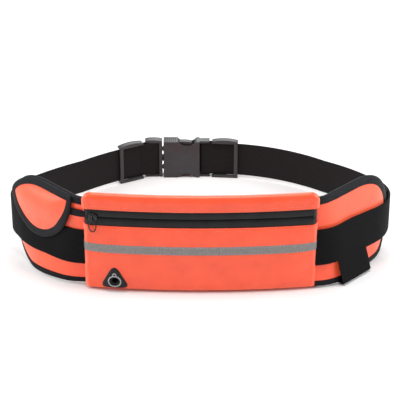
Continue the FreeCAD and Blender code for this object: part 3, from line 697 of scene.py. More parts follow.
def add_camera():
    data = bpy.data.cameras.new("camera")
    data.sensor_width = 36
    data.lens = 149.94
    data.clip_start = 0.05
    aim = Vector((-0.0005, -0.007, 0.0386))
    camera = bpy.data.objects.new("camera", data)
    aimed(camera, look_from(0, 29.5, 1.700, aim), aim)
    bpy.context.scene.camera = camera


def add_light(name, angle, height, distance, size, power):
    data = bpy.data.lights.new(name, "AREA")
    data.shape = "DISK"
    data.size = size
    data.energy = power
    aim = Vector((0, 0, 0.05))
    aimed(bpy.data.objects.new(name, data), look_from(angle, height, distance, aim), aim)


def add_studio():
    world = bpy.data.worlds.new("studio")
    world.use_nodes = True
    background = world.node_tree.nodes["Background"]
    background.inputs["Color"].default_value = (1.0, 1.0, 1.0, 1)
    background.inputs["Strength"].default_value = 0.38
    bpy.context.scene.world = world
    bpy.context.scene.view_settings.view_transform = "Standard"
    add_light("top", 0, 84, 1.5, 0.9, 19)
    add_light("key", -84, 30, 1.5, 0.9, 13)
    add_light("fill", 84, 28, 1.5, 0.9, 14)
    add_light("rim", 176, 34, 1.6, 1.0, 11)
    mesh = bpy.data.meshes.new("floor")
    reach = 4.0
    mesh.from_pydata([(-reach, -reach, 0), (reach, -reach, 0), (reach, reach, 0),
                      (-reach, reach, 0)], [], [(0, 1, 2, 3)])
    floor = bpy.data.objects.new("floor", mesh)
    paint = Finish("pale_floor", Base_Color=(0.72, 0.72, 0.72, 1), Roughness=0.9)
    mesh.materials.append(paint.material)
    bpy.context.scene.collection.objects.link(floor)


# ---------------------------------------------------------------- pouch

FRONT = 8.0
BACK = -2.6
BACK_THICKNESS = 2.0
POUCH_TOP = 106.0
ZIP_TOP = 90.0
ZIP_BOTTOM = 72.4
ZIP_MIDDLE = (ZIP_TOP + ZIP_BOTTOM) / 2
HALF_AT_GROUND = 112.6
HALF_AT_TOP = 112.3
LOWER_CORNER = 2.5
UPPER_CORNER = 9.0
SIDE_EDGE = 4.5
BASE_EDGE = 5.0
TOP_EDGE = 7.0
PANEL_THICKNESS = 1.8
FORWARD = Vector((0, -1, 0))


def front_at(across, offset, up):
    radius = FRONT_RADIUS + offset
    return Vector((across, FRONT_CENTRE.y - math.sqrt(radius ** 2 - across ** 2), up))


def pouch_half(up, wider=0.0):
    """Half the pouch's width at a height, less what its round corners take."""
    half = mix(HALF_AT_GROUND, HALF_AT_TOP, up / POUCH_TOP) + wider
    for radius, depth in ((LOWER_CORNER, up), (UPPER_CORNER, POUCH_TOP - up)):
        if depth < radius:
            half -= radius - math.sqrt(max(0.0, radius ** 2 - (radius - depth) ** 2))
    return half


def pouch_back(up):
    """The pouch is thinner towards its top, where its back leans to the front."""
    return BACK + 6.4 * smooth_step(60, POUCH_TOP, up)


def pouch_offset(share, up, wider=0.0):
    """How far out the pouch's skin is, rounding to the back at the sides, base and top."""
    back = pouch_back(up)
    side = rolled((1 - abs(share)) * pouch_half(up, wider), SIDE_EDGE)
    base = rolled(up, BASE_EDGE)
    top = rolled(POUCH_TOP - up, TOP_EDGE)
    crown = 0.7 * math.sin(math.pi * up / POUCH_TOP) * (1 - share ** 2)
    return back + (FRONT - 0.4 + crown - back) * side * base * top


def side_to_side(pitch, steps):
    """Shares of the pouch's half width, closer together at its round sides."""
    return [value / 112 for value in edged(-112, 112, pitch, SIDE_EDGE, SIDE_EDGE, steps)]


def pouch_sheet(name, heights, finish, offset, wider):
    rings = [
        [front_at(share * pouch_half(up, wider), offset(share, up), up) for up in heights]
        for share in side_to_side(2.0, 7)]
    return skin(name, rings, finish, closed=False, facing=FORWARD)


def swollen_sheet(name, heights, offset, wider, free, pressure, cap):
    """A neoprene sheet, swollen between two heights, and a cover to lay other pieces on it."""
    sheet = pouch_sheet(name, heights, "neoprene", offset, wider)
    low, high = free
    swell(sheet, lambda place: low < place.z < high and abs(place.x) < pouch_half(place.z) - 4,
          pressure, cap)
    return sheet, Cover(sheet)


def make_pouch():
    """The lower front, the top flap over the zip, and the back panel."""
    lip = 1.3

    def lower(share, up):
        return pouch_offset(share, up) - 1.7 * (1 - rolled(ZIP_BOTTOM - up, lip))

    def upper(share, up):
        fold = 1 - rolled(up - ZIP_TOP + 0.4, lip)
        return pouch_offset(share, up, 1.0) + 0.5 - 1.9 * fold

    front, cover = swollen_sheet(
        "pouch_front_skin", edged(0, ZIP_BOTTOM, 1.9, BASE_EDGE, lip, 5), lower, 0.0,
        (5, ZIP_BOTTOM - 3), 1.6, 3.0)
    top, top_cover = swollen_sheet(
        "pouch_top_skin", edged(ZIP_TOP - 0.4, POUCH_TOP, 1.5, lip, 3.4, 5), upper, 1.0,
        (ZIP_TOP + 4, POUCH_TOP - 2.5), 1.2, 2.0)
    cut_port_hole(front)
    for sheet, node in ((front, "pouch_front_panel"), (top, "pouch_top_panel")):
        thicken(sheet, PANEL_THICKNESS)
        finished(sheet, "neoprene", "root", node)

    def back_point(share, up, depth):
        return front_at(share * (pouch_half(up) + 0.2), pouch_back(up) - depth, up)

    rows = edged(0.3, POUCH_TOP - 0.1, 3.0, 6.0, 9.0, 6)
    rings = []
    for share in side_to_side(4.0, 5):
        face = [back_point(share, up, 0) for up in rows]
        rear = [
            back_point(share, up,
                       BACK_THICKNESS - 0.5 * (1 - rolled(min(up, POUCH_TOP - up), 2)))
            for up in reversed(rows)]
        rings.append(face + rear)
    back = skin("pouch_back_skin", rings, "neoprene")
    finished(back, "neoprene", "root", "pouch_back_panel")
    return cover, top_cover


PORT = Vector((-83, 0, 12.5))
PORT_HOLE_RADIUS = 4.6


def cut_port_hole(piece):
    """Opens the cloth behind the cord port."""
    work = bmesh.new()
    work.from_mesh(piece.data)
    doomed = [
        face for face in work.faces
        if (face.calc_center_median() / MM - PORT).xz.length < PORT_HOLE_RADIUS
        and face.normal.y < -0.5]
    bmesh.ops.delete(work, geom=doomed, context="FACES")
    work.to_mesh(piece.data)
    work.free()


def make_zip():
    """Two coated tapes that meet over the coil, each gently domed, with turned ends."""
    lap = 0.05
    for name, low, high in (
            ("lower", ZIP_BOTTOM - 0.8, ZIP_MIDDLE + lap),
            ("upper", ZIP_MIDDLE - lap, ZIP_TOP + 0.5)):
        def offset(share, up):
            across = (up - low) / (high - low)
            towards_middle = across if name == "lower" else 1 - across
            dome = 0.9 * max(0.0, math.sin(math.pi * min(1.0, towards_middle * 1.06))) ** 0.7
            crease = -0.9 * (1 - rolled((1 - towards_middle) * (high - low), 0.9))
            back = pouch_back(up)
            side = rolled((1 - abs(share)) * pouch_half(up), SIDE_EDGE)
            return back + (6.35 + dome + crease - back) * side
        tape = pouch_sheet(f"zip_tape_{name}_skin", edged(low, high, 0.8, 0.9, 0.9, 3),
                           "zip_tape", offset, -1.2)
        thicken(tape, 0.8)
        finished(tape, "zip_tape", "root", f"zip_tape_{name}")
    for name in ("zip_start_stop", "zip_end_stop"):
        softened(f"{name}_crimp", name, "zip_metal", "root", 0.3)
    for node in ("zip_teeth_lower", "zip_teeth_upper"):
        repaint(node, "zip_teeth")


def repaint(node, finish):
    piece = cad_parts[node]
    piece.data.materials.clear()
    piece.data.materials.append(MATERIALS[finish])


def make_strip(cover):
    """The reflective tape, sewn round from one side of the pouch to the other."""
    low, high = 44.2, 53.2
    rings = []
    for share in side_to_side(2.0, 7):
        ring = []
        for up in edged(low, high, 1.2, 0.4, 0.4, 2):
            half = pouch_half(up)
            place = front_at(share * half, pouch_offset(share, up), up)
            lean = smooth_step(0.965, 1.0, abs(share)) * math.copysign(1, share)
            out = Vector((lean, -1 + abs(lean) * 0.6, 0)).normalized()
            edge = min(up - low, high - up)
            ring.append(cover.lifted(place, 0.12 + 0.3 * rolled(edge, 0.4), out))
        rings.append(ring)
    tape = skin("reflective_tape_band", rings, "reflective", closed=False, facing=FORWARD)
    thicken(tape, 0.28)
    finished(tape, "reflective", "root", "reflective_strip")
    for index, up in enumerate((low + 0.9, high - 0.9)):
        route = seam_route(cover, up, 1.5, 0.45)
        stitches(f"strip_stitch_{index}", route, "port_ring", "reflective", "root", 2.0, 1.2, 0.14)


def seam_route(cover, up, inset, height):
    """A level line across the pouch's skin, as points and ways out."""
    half = pouch_half(up) - inset
    return [
        (cover.lifted(front_at(across, FRONT, up), height, FORWARD), FORWARD)
        for across in evenly(-half, half, 2.0)]


def make_port(cover):
    """A three-cornered rubber patch with a bowl, a pale ring and a small eyelet above it."""
    base = cover.lifted(front_at(PORT.x, FRONT, PORT.z), 0, FORWARD)
    lean = math.asin(PORT.x / (FRONT_RADIUS + FRONT))
    out = Vector((math.sin(lean), -math.cos(lean), 0))
    right = Vector((math.cos(lean), math.sin(lean), 0))
    # each side's way from the middle in degrees, and how far away it is
    sides = ((-90, 9.0), (27.9, 9.4), (152.1, 9.4))
    sharpness = 2.5

    def reach(angle):
        """How far the rounded triangle reaches in a direction."""
        total = sum(
            max(0.0, math.cos(angle - math.radians(way)) / away) ** sharpness
            for way, away in sides)
        return total ** (-1 / sharpness)

    def placed(angle, radius, height):
        flat = base + right * math.cos(angle) * radius + UP * math.sin(angle) * radius
        return cover.lifted(flat, height, out)

    # shares of the way in from the outline to the bowl's rim, then radii inside it
    slope = ((0.0, -0.3), (0.0, 0.35), (0.06, 0.8), (0.18, 1.15), (0.5, 1.4), (0.85, 1.5),
             (1.0, 1.45))
    bowl = ((5.5, 1.3), (4.9, 0.6), (4.2, 0.25), (3.5, 0.1), (3.1, -0.2), (3.0, -1.0), (3.0, -6.2),
            (4.4, -6.2), (4.4, -0.3))
    rings = []
    for angle in full_turn(72):
        outline = reach(angle)
        ring = [placed(angle, mix(outline, 5.9, share), height) for share, height in slope]
        ring += [placed(angle, radius, height) for radius, height in bowl]
        rings.append(ring)
    patch = skin("cord_port_moulding", rings, "port_rubber", looped=True)
    finished(patch, "port_rubber", "root", "cord_port_patch")

    hoop = [placed(angle, 6.0, 1.65) for angle in full_turn(60)]
    eyelet_up = 7.5
    eyelet_radius = 1.6
    eye = [
        cover.lifted(base + right * eyelet_radius * math.cos(angle)
                     + UP * (eyelet_up + eyelet_radius * math.sin(angle)), 1.6, out)
        for angle in full_turn(24)]
    ring = joined([
        tube("cord_port_hoop", hoop, 0.56, "port_ring", out, True, 10, 0.9),
        tube("cord_port_eye", eye, 0.42, "port_ring", out, True, 8, 0.9)], "cord_port_hoop")
    finished(ring, "port_ring", "root", "cord_port_ring")

    # a black sheet set deep behind the port's hole so the hole reads dark: painted shade standing
    # in for the shade inside the pouch
    shade_disc_depth = 6.6
    shade_disc = [
        [base - out * shade_disc_depth + (right * math.cos(angle) + UP * math.sin(angle)) * radius
         for angle in full_turn(32)]
        for radius in (9.0, 4.0, 0.4)]
    dark = skin("cord_port_painted_shade", shade_disc, "binding", capped=False, facing=out)
    thicken(dark, 0.3)
    finished(dark, "binding", "root")

    rim = [(placed(angle, reach(angle) - 1.4, 1.05), out) for angle in full_turn(90)]
    rim.append(rim[0])
    stitches("cord_port_stitch", rim, "thread_black", "binding", "root", 1.8, 1.0, 0.16)


# ---------------------------------------------------------------- wings and tapes

WING_LOW = {"left": 2.4, "right": 1.8}
WING_HIGH = 97.6
WING_END = -35.0
UPPER_ROUND = -74.0
UPPER_HEIGHT = 47.0
LOWER_ROUND = {"left": -76.0, "right": -59.0}
LOWER_HEIGHT = {"left": 40.0, "right": 35.0}
WING_FACE = -1.2
WING_REAR = -3.6
WING_TAPE = (6.0, 8.4)


def wing_span(side, behind, inset=0.0):
    """A wing's lowest and highest points where it is so far back, between its round corners."""
    def rounding(start):
        past = (behind - start) / (WING_END - inset - start)
        return 1 - math.sqrt(max(0.0, 1 - min(1.0, max(0.0, past)) ** 2))
    low = WING_LOW[side] + inset + LOWER_HEIGHT[side] * rounding(LOWER_ROUND[side])
    high = WING_HIGH - inset - UPPER_HEIGHT * rounding(UPPER_ROUND)
    return low, high


def wing_distances(inset, start=POUCH_EDGE - 1.5):
    """Distances along a wing, closer together at its round end."""
    run = evenly(start, distance_behind(UPPER_ROUND), 3.0)
    reach = WING_END - inset - UPPER_ROUND
    turn = [UPPER_ROUND + reach * math.sin(math.pi / 2 * step / 22) for step in range(1, 23)]
    # the two edges would meet at the very end
    turn[-1] -= 0.02
    return run + [distance_behind(behind) for behind in turn]


def slab_ring(side, distance, low, high, front, rear, crown, steps=20):
    """A thin slab's section at one distance, with a little crown on its face."""
    ups = [mix(low, high, step / steps) for step in range(steps + 1)]
    face = [
        spot(side, distance, front + crown * math.sin(math.pi * step / steps), up)
        for step, up in enumerate(ups)]
    return face + [spot(side, distance, rear, up) for up in reversed(ups)]


def make_wing_panel(side):
    inset = 0.8
    rings = []
    for distance in wing_distances(inset):
        low, high = wing_span(side, plan_spot(side, distance).y, inset)
        rings.append(slab_ring(side, distance, low, high, WING_FACE, WING_REAR, 0.5))
    panel = skin(f"{side}_wing_skin", rings, "neoprene")
    finished(panel, "neoprene", "root", f"{side}_wing_panel")


def tape_line(path, closed):
    """Each point of a path in distance and height, with its way in from the edge."""
    return [
        (point, Vector((-forward.y, forward.x)))
        for point, forward in zip(path, headings(path, closed))]


def edge_tape(name, side, path, middle, half, width_at, closed=False, sag=None):
    """Binding folded round an edge: a soft nose, two lapped faces, puckered by its stitches."""
    # shares of the way in from the edge, and of half the tape's thickness
    section = ((1.0, 0.70), (0.985, 0.95), (0.91, 1.04), (0.72, 1.0), (0.55, 1.12),
               (0.35, 1.26), (0.18, 1.18), (0.08, 0.84), (0.015, 0.4), (0.0, 0.0))
    outline = [*section, *((share, -rise) for share, rise in reversed(section[:-1]))]
    rings = []
    for index, (point, inwards) in enumerate(tape_line(path, closed)):
        pucker = 1 + 0.045 * math.sin(index * 2.1) + 0.03 * math.sin(index * 0.83 + 1.0)
        ring = []
        width = width_at(point.y)
        for share, rise in outline:
            place = point + inwards * share * width
            swollen = pucker if share < 0.85 else 1.0
            lean = sag(place.y) if sag else 0.0
            ring.append(spot(side, place.x, middle + lean + half * rise * swollen, place.y))
        rings.append(ring)
    return skin(name, rings, "binding", looped=closed)


def tape_stitches(name, side, path, offset, width_at, body, closed=False, facing=1, sag=None):
    route = []
    for point, inwards in tape_line(path, closed):
        place = point + inwards * (width_at(point.y) - 1.5)
        lean = sag(place.y) if sag else 0.0
        route.append((spot(side, place.x, offset + lean, place.y),
                      way_out(side, place.x) * facing))
    if closed:
        route.append(route[0])
    return stitches(name, route, "thread_black", "binding", body, 2.2, 1.2, 0.2)


def wing_tape_width(up):
    """The wing's binding is wider along its top than at its foot."""
    return mix(*WING_TAPE, smooth_step(15, 85, up))


def flap_tape_width(up):
    return mix(*FLAP_TAPE, smooth_step(60, 88, up))


def make_wing_binding(side):
    reached = [(distance, wing_span(side, plan_spot(side, distance).y))
               for distance in wing_distances(0.0, POUCH_EDGE - 1)]
    low = [Vector((distance, span[0])) for distance, span in reached]
    high = [Vector((distance, span[1])) for distance, span in reversed(reached)]
    path = relaxed(resampled(low + high, 2.0), 4, closed=False)
    middle = (WING_FACE + WING_REAR) / 2
    half = (WING_FACE - WING_REAR) / 2 + 0.5
    tape = edge_tape(f"{side}_wing_tape", side, path, middle, half, wing_tape_width)
    finished(tape, "binding", "root", f"{side}_wing_binding")
    for name, offset, facing in (("front", half * 1.02, 1), ("rear", -half * 1.02, -1)):
        tape_stitches(f"{side}_wing_stitch_{name}", side, path, middle + offset,
                      wing_tape_width, "root", facing=facing)


BAND_WIDTH = 38.0
BAND_FOOT = (25.5, 3.0)
BAND_DROP = (-83.0, 73.0)


def strap_up(side, distance):
    """The height of the band's and webbing's middle, level in front and dropping to the back."""
    start, stop = BAND_DROP
    drop = min(1.0, max(0.0, (plan_spot(side, distance).y - start) / (stop - start)))
    return mix(*BAND_FOOT, drop) + BAND_WIDTH / 2


def belt_strap_line(side, start, stop, offset):
    """A strap's line along the belt, leaning with it where it is flared."""
    line = []
    for distance in evenly(start, stop, 3.0):
        up = strap_up(side, distance)
        low = spot(side, distance, offset, up - BAND_WIDTH / 2)
        high = spot(side, distance, offset, up + BAND_WIDTH / 2)
        across = (high - low).normalized()
        line.append(((low + high) / 2, way_out(side, distance), across))
    return line


def make_band(side):
    line = belt_strap_line(side, POUCH_EDGE - 1, 262, 1.8)
    band = strap(f"{side}_band_strap", line, BAND_WIDTH, 1.6, "elastic")
    finished(band, "elastic", "root", f"{side}_elastic_band")
    box_stitch(f"{side}_band_box", side, 243, 260, 2.65)


def box_stitch(name, side, start, stop, offset):
    """A sewn rectangle with a cross in it, over the band's joint with the webbing."""
    low, high = -BAND_WIDTH / 2 + 4, BAND_WIDTH / 2 - 4
    legs = (
        ((start, low), (stop, low)), ((stop, low), (stop, high)), ((stop, high), (start, high)),
        ((start, high), (start, low)), ((start, low), (stop, high)), ((start, high), (stop, low)))
    for index, (first, last) in enumerate(legs):
        route = []
        for share in evenly(0, 1, 0.1):
            distance = mix(first[0], last[0], share)
            up = mix(first[1], last[1], share) + strap_up(side, distance)
            route.append((spot(side, distance, offset, up), way_out(side, distance)))
        stitches(f"{name}_{index}", route, "thread_black", "elastic", "root", 2.2, 0.9, 0.2)


# ---------------------------------------------------------------- pocket and flap

def make_pocket():
    """The patch pocket on the left wing, and the tape along its mouth."""
    inset = 6.4
    for name, finish, low, high, crown, node in (
            ("left_pocket_skin", "neoprene", 9.4, 77.2, 0.35, "left_pocket_panel"),
            ("left_pocket_tape", "binding", 77.0, 84.0, 0.35, "pocket_binding")):
        rings = []
        thick = 0.15 if finish == "binding" else 0
        for distance in evenly(POUCH_EDGE - 1, 213.5, 2.5):
            span = wing_span("left", plan_spot("left", distance).y, inset)
            bottom = max(low, span[0])
            top = min(high, span[1])
            if top - bottom < 0.5:
                break
            rings.append(slab_ring("left", distance, bottom, top, 0.75 + thick, -0.4, crown, 10))
        piece = skin(name, rings, finish)
        finished(piece, finish, "root", node)
    mouth = [
        (spot("left", distance, 1.1, 78.4), way_out("left", distance))
        for distance in evenly(POUCH_EDGE, 205, 3)]
    stitches("left_pocket_stitch", mouth, "thread_black", "binding", "root", 2.2, 1.2, 0.2)


FLAP_CENTRE = 57.8
FLAP_HALF = 44.0
FLAP_TOP = 97.4
FLAP_BOTTOM = 41.0
FLAP_SHOULDER = 10.0
FLAP_MIDDLE = 4.2
FLAP_THICKNESS = 1.6
FLAP_TUCK = 3.6
FLAP_TAPE = (7.8, 6.3)


def flap_holds(distance, up):
    """Whether a point in distance and height is inside the flap's outline."""
    point = plan_spot("right", distance)
    across = diagonally(point) - FLAP_CENTRE
    shoulder = FLAP_TOP - FLAP_SHOULDER
    if abs(across) > FLAP_HALF or up > FLAP_TOP:
        return False
    below = shoulder - up
    if below > 0 and (across / FLAP_HALF) ** 2 + (below / (shoulder - FLAP_BOTTOM)) ** 2 > 1:
        return False
    low, high = wing_span("left", point.y)
    return low <= up <= high - 0.6


def flap_path():
    """The flap's outline from rays out of its middle, evenly spaced and with eased corners."""
    centre = Vector((distance_diagonally(FLAP_CENTRE), 74.0))
    outline = []
    for angle in full_turn(240):
        way = Vector((math.cos(angle), math.sin(angle)))
        inside, outside = 0.0, 80.0
        for _ in range(24):
            reach = (inside + outside) / 2
            place = centre + way * reach
            if flap_holds(place.x, place.y):
                inside = reach
            else:
                outside = reach
        outline.append(centre + way * inside)
    return centre, relaxed(resampled(outline, 2.0, closed=True), 8)


def flap_sag(up):
    """How far the flap's top leans back to the wing's edge from where it hangs over the band."""
    return -FLAP_TUCK * smooth_step(70, FLAP_TOP, up)


def hang_flap(piece):
    """Bakes the piece's placement into its mesh; the hinge point it works out is not used."""
    hinge = spot("left", distance_diagonally(FLAP_CENTRE), FLAP_MIDDLE, FLAP_TOP) * MM
    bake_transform(piece)


def make_flap():
    """The hanging flap: a soft panel, its binding, the stitches and the hook patch."""
    centre, path = flap_path()
    lines = tape_line(path, True)
    inset = 4.0
    edge = [point + inwards * inset for point, inwards in lines]
    shares = (0.02, 0.15, 0.3, 0.45, 0.58, 0.7, 0.8, 0.88, 0.95, 1.0)

    def face(offset, crown):
        """Rings from the flap's middle out to its edge, domed inside the binding."""
        rings = []
        for share in shares:
            ring = []
            for point in edge:
                place = centre + (point - centre) * share
                free = 1 - (FLAP_TAPE[0] - inset + 0.9) / (point - centre).length
                bulge = crown * (1 - min(1.0, share / free) ** 2)
                ring.append(spot("left", place.x, offset + flap_sag(place.y) + bulge, place.y))
            rings.append(ring)
        return rings

    panel = skin("pocket_flap_skin", face(FLAP_MIDDLE + FLAP_THICKNESS / 2, 2.2)
                 + face(FLAP_MIDDLE - FLAP_THICKNESS / 2, 0.0)[::-1], "neoprene")
    finished(panel, "neoprene", None, "pocket_flap")
    hang_flap(panel)
    half = FLAP_THICKNESS / 2 + 0.45
    tape = edge_tape("pocket_flap_tape", "left", path, FLAP_MIDDLE, half, flap_tape_width, True,
                     flap_sag)
    finished(tape, "binding", None, "flap_binding")
    hang_flap(tape)
    hang_flap(tape_stitches("pocket_flap_stitch", "left", path, FLAP_MIDDLE + half * 1.03,
                            flap_tape_width, None, True, sag=flap_sag))
    softened("flap_hooks", "flap_hook_patch", "hook_and_loop", "flap", 0.2)
    softened("pocket_loops", "pocket_loop_patch", "hook_and_loop", "root", 0.2)


# ---------------------------------------------------------------- bottle strap

BOTTLE_CENTRE = 41.0


def make_bottle_strap():
    """A wide elastic from the band's lower edge, under the wing and up again behind it."""
    _, start, stop, out = LINES["right"][2]
    across = (stop - start).normalized()
    centre = (start + across * (BOTTLE_CENTRE - diagonally(start))).to_3d()
    across = across.to_3d()
    out = out.to_3d()
    width = 41.5
    # out from the belt line and up: the band's face, the hanging outer leg and the inner leg
    corners = [Vector(pair) for pair in ((3.8, 31.0), (5.0, 24.8), (17.0, 0.9), (3.8, 0.9),
                                         (-0.4, 28.0))]
    path = rounded_path(corners, 2.6, 1.0)
    line = [
        (centre + out * point.x + UP * point.y, UP * along.x - out * along.y, across)
        for point, along in zip(path, headings(path))]
    loop = strap("bottle_strap_loop", line, width, 1.4, "elastic")
    finished(loop, "elastic", "root", "bottle_strap")
    tack = [
        (centre + across * share * width + out * 7.2 + UP * 22.6, out)
        for share in evenly(-0.46, 0.46, 0.04)]
    stitches("bottle_strap_tack", tack, "thread_black", "elastic", "root", 2.0, 0.8, 0.2)


# ---------------------------------------------------------------- webbing

BUCKLE_BACK = 117.2
BUCKLE_UP = 21.75
SOCKET_TOP = 43.5
WEB_UP = 22.0
LOOP_RADIUS = 2.5
# where each strap turns round its buckle bar and which way it bulges, where its return starts
# back, and how far its adjuster stands before the strap's end
TURNS = {"left": (-46.6, 1), "right": (2.2, -1)}
BAR_BACKS = {"left": -53.5, "right": 10.0}
ADJUSTER_LEAD = {"left": 10.6, "right": 14.6}
WEBBING_THICKNESS = 1.6


def plan_line(points, up):
    """A strap's line from plan points, with its way out square to the path."""
    return [
        (Vector((point.x, point.y, up)), Vector((-forward.y, forward.x, 0)), UP)
        for point, forward in zip(points, headings(points))]


def make_webbing(side):
    """The webbing from the wing to the buckle, round its bar, and the tail to the adjuster."""
    line = belt_strap_line(side, 240, LINE_END[side], 0)
    strip = strap(f"{side}_webbing_strap", line, BAND_WIDTH, WEBBING_THICKNESS, "webbing")
    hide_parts(f"{side}_webbing")

    turn, bulge = TURNS[side]
    points = resampled([spot(side, LINE_END[side]).xy, Vector((turn, BUCKLE_LINE))], 3.0)
    for step in range(1, 17):
        angle = -math.pi / 2 + math.pi * step / 16
        points.append(Vector((turn + bulge * LOOP_RADIUS * math.cos(angle),
                              BUCKLE_BACK + LOOP_RADIUS * math.sin(angle))))
    return_start = Vector((BAR_BACKS[side], BUCKLE_BACK + LOOP_RADIUS))
    points.append(return_start)
    loop = strap(f"{side}_webbing_turn", plan_line(points, WEB_UP), BAND_WIDTH,
                 WEBBING_THICKNESS, "webbing")
    loop_body = "buckle_male" if side == "left" else "root"
    finished(loop, "webbing", loop_body, f"{side}_webbing_loop")

    reach = LINE_END[side] - ADJUSTER_LEAD[side] + 2.3
    tail_points = resampled([return_start, spot(side, reach, 2.4).xy], 2.0)
    tail = strap(f"{side}_webbing_end", plan_line(tail_points, WEB_UP), BAND_WIDTH,
                 WEBBING_THICKNESS, "webbing")
    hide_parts(f"{side}_webbing_tail")
    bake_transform(tail)
    if side == "left":
        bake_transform(strip)
    else:
        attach(strip, "root")


# ---------------------------------------------------------------- buckle and adjusters

def softened(name, node, finish, body, radius, cuts=(), shape=None):
    """A copy of a hard CAD part with rounded edges, cut into strips and reshaped if asked."""
    work = bmesh.new()
    work.from_mesh(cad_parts[node].data)
    bmesh.ops.remove_doubles(work, verts=work.verts, dist=1e-6)
    bmesh.ops.dissolve_limit(work, angle_limit=math.radians(1), verts=work.verts,
                             edges=work.edges)
    for point, normal in cuts:
        everything = list(work.verts) + list(work.edges) + list(work.faces)
        bmesh.ops.bisect_plane(work, geom=everything, plane_co=point * MM, plane_no=normal)
    if shape:
        for vertex in work.verts:
            vertex.co = shape(vertex.co / MM) * MM
    mesh = bpy.data.meshes.new(name)
    work.to_mesh(mesh)
    work.free()
    mesh.materials.clear()
    mesh.materials.append(MATERIALS[finish])
    piece = bpy.data.objects.new(name, mesh)
    bpy.context.scene.collection.objects.link(piece)
    bevel = piece.modifiers.new("Round", "BEVEL")
    bevel.width = radius * MM
    bevel.segments = 3
    bevel.limit_method = "ANGLE"
    bevel.angle_limit = math.radians(35)
    bevel.use_clamp_overlap = True
    settle(piece)
    shade(piece, 35)
    return finished(piece, finish, body, node)


def make_adjuster(side):
    """A three-bar slide whose upper rail rises in a low arch."""
    distance = LINE_END[side] - ADJUSTER_LEAD[side]
    middle = spot(side, distance, 0, WEB_UP)
    out = way_out(side, distance)
    along = UP.cross(out)
    cuts = [(middle + along * step, along) for step in (-12, -9, -6, -3, 0, 3, 6, 9, 12)]

    def arched(point):
        share = (point - middle).dot(along) / 14
        rise = 1.9 * (1 - share ** 2) if point.z > WEB_UP + 20.5 else 0.0
        return point + UP * rise

    body = f"{side}_adjuster"
    softened(f"{body}_slide", body, "buckle_plastic", body, 0.9, cuts, arched)


def make_buckle():
    """The plug's frame, the socket with its grip studs, and the two latches."""
    mouth = -40.0

    def cuts_at(*distances):
        return [(Vector((mouth + along, 0, 0)), Vector((1, 0, 0))) for along in distances]

    def male_arch(point):
        share = (point.x - (mouth - 11)) / 9
        rise = 1.1 * max(0.0, 1 - share ** 2)
        return point + UP * rise if point.z > BUCKLE_UP + 20.5 else point

    def thumb_pad(point):
        """The latch's outer face, raised into a pad where it shows in the scallop."""
        share = (point.x - (mouth + 22)) / 9.5
        side = math.copysign(1, point.z - BUCKLE_UP)
        rise = 1.6 * max(0.0, 1 - share ** 2)
        return point + UP * rise * side if abs(point.z - BUCKLE_UP) > 15 else point

    softened("buckle_plug", "buckle_male_frame", "buckle_plastic", "buckle_male", 0.8,
             cuts_at(-19, -17, -14, -11, -8, -5), male_arch)
    softened("buckle_socket", "buckle_housing", "buckle_plastic", "root", 0.9)
    for way in ("upper", "lower"):
        softened(f"buckle_latch_{way}", f"buckle_prong_{way}", "buckle_plastic",
                 f"prong_{way}", 0.7, cuts_at(*range(14, 31, 2)), thumb_pad)
    studs = [
        stud(Vector((mouth + 2.4 + column * 2.1, BUCKLE_BACK + row, SOCKET_TOP)), 0.62, 0.42)
        for row in (-3.2, 0.0, 3.2) for column in range(6)]
    finished(joined(studs, "buckle_socket_studs"), "buckle_plastic", "root")


def stud(place, radius, height):
    """A small round grip stud that stands up from a surface."""
    rings = []
    for share, rise in ((1.0, -0.2), (0.95, 0.35), (0.7, 0.8), (0.3, 1.0)):
        rings.append([
            place + Vector((math.cos(angle), math.sin(angle), 0)) * radius * share
            + UP * rise * height
            for angle in full_turn(10)])
    return skin("stud", rings, "buckle_plastic")


# ---------------------------------------------------------------- zip slider and pull

SLIDER_TURN = math.radians(7.2)


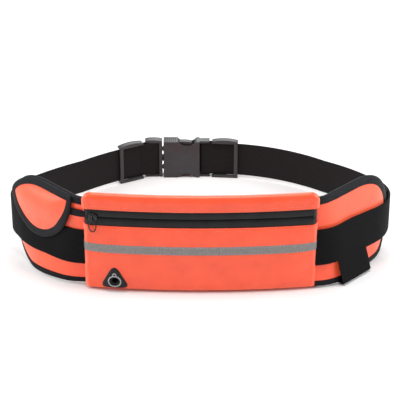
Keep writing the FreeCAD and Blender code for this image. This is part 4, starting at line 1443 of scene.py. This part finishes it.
def make_slider():
    """A domed slider body with a rear plate, a wire bail, and the loop that hangs in it."""
    heading = -math.pi / 2 - SLIDER_TURN
    out = Vector((math.cos(heading), math.sin(heading), 0))
    right = Vector((-out.y, out.x, 0))
    base = polar(FRONT_CENTRE, FRONT_RADIUS + FRONT, heading)
    origin = Vector((base.x, base.y, ZIP_MIDDLE))

    def placed(across, up, forward):
        return origin + right * across + UP * up + out * forward

    def plate(name, profile):
        """A shield with a waist, as loops of its outline drawn in and lifted."""
        rings = []
        for inset, forward in profile:
            ring = []
            for angle in full_turn(48):
                along = math.copysign(abs(math.cos(angle)) ** 0.7, math.cos(angle))
                aside = math.copysign(abs(math.sin(angle)) ** 0.7, math.sin(angle))
                waist = 1 - 0.16 * smooth_step(-0.2, 1.0, along)
                ring.append(placed(along * (4.5 - inset), aside * (5.0 * waist - inset), forward))
            rings.append(ring)
        return skin(name, rings, "zip_metal")

    front = plate("zip_slider_front", (
        (0.3, -0.1), (0.05, 0.1), (0.0, 0.5), (0.15, 0.9), (0.7, 1.2), (2.0, 1.35), (3.9, 1.4)))
    rear = plate("zip_slider_rear", (
        (0.4, -4.8), (0.1, -4.5), (0.0, -4.1), (0.2, -3.6), (0.6, -3.45)))
    neck = tube("zip_slider_neck", [placed(0, 0, -3.6), placed(0, 0, 0.2)], 0.45, "zip_metal",
                right)
    arch = [
        placed(0, 3.1 * math.cos(angle), 1.0 + 2.6 * max(0.0, math.sin(angle)) ** 0.6)
        for angle in (math.pi * step / 20 for step in range(21))]
    bail = tube("zip_slider_bail", arch, 0.55, "zip_metal", right)
    body = joined([front, rear, neck, bail], "zip_slider_body")
    finished(body, "zip_metal", "zip_slider", "zip_slider")

    loop = []
    for angle in full_turn(64):
        narrow = 0.5 + 0.5 * smooth_step(0.9, -0.25, math.cos(angle))
        loop.append(placed(3.6 * math.sin(angle) * narrow, -7.5 + 6.7 * math.cos(angle), 2.2))
    pull = tube("zip_pull_loop", loop, 0.6, "zip_metal", out, True, 10, 0.85)
    finished(pull, "zip_metal", "zip_pull", "zip_pull")


# ---------------------------------------------------------------- the pack

def build():
    add_camera()
    add_studio()
    cover, top_cover = make_pouch()
    make_zip()
    make_strip(cover)
    make_port(cover)
    for name, laid, up, inset in (("lower", cover, 69.6, 4), ("upper", top_cover, 93.4, 4)):
        stitches(f"zip_stitch_{name}", seam_route(laid, up, inset, 0.05), "thread_orange",
                 "neoprene", "root", 2.4, 1.4, 0.32)
    for side in ("left", "right"):
        make_wing_panel(side)
        make_wing_binding(side)
        make_band(side)
        make_webbing(side)
        make_adjuster(side)
    make_pocket()
    make_flap()
    make_bottle_strap()
    make_buckle()
    make_slider()


build()
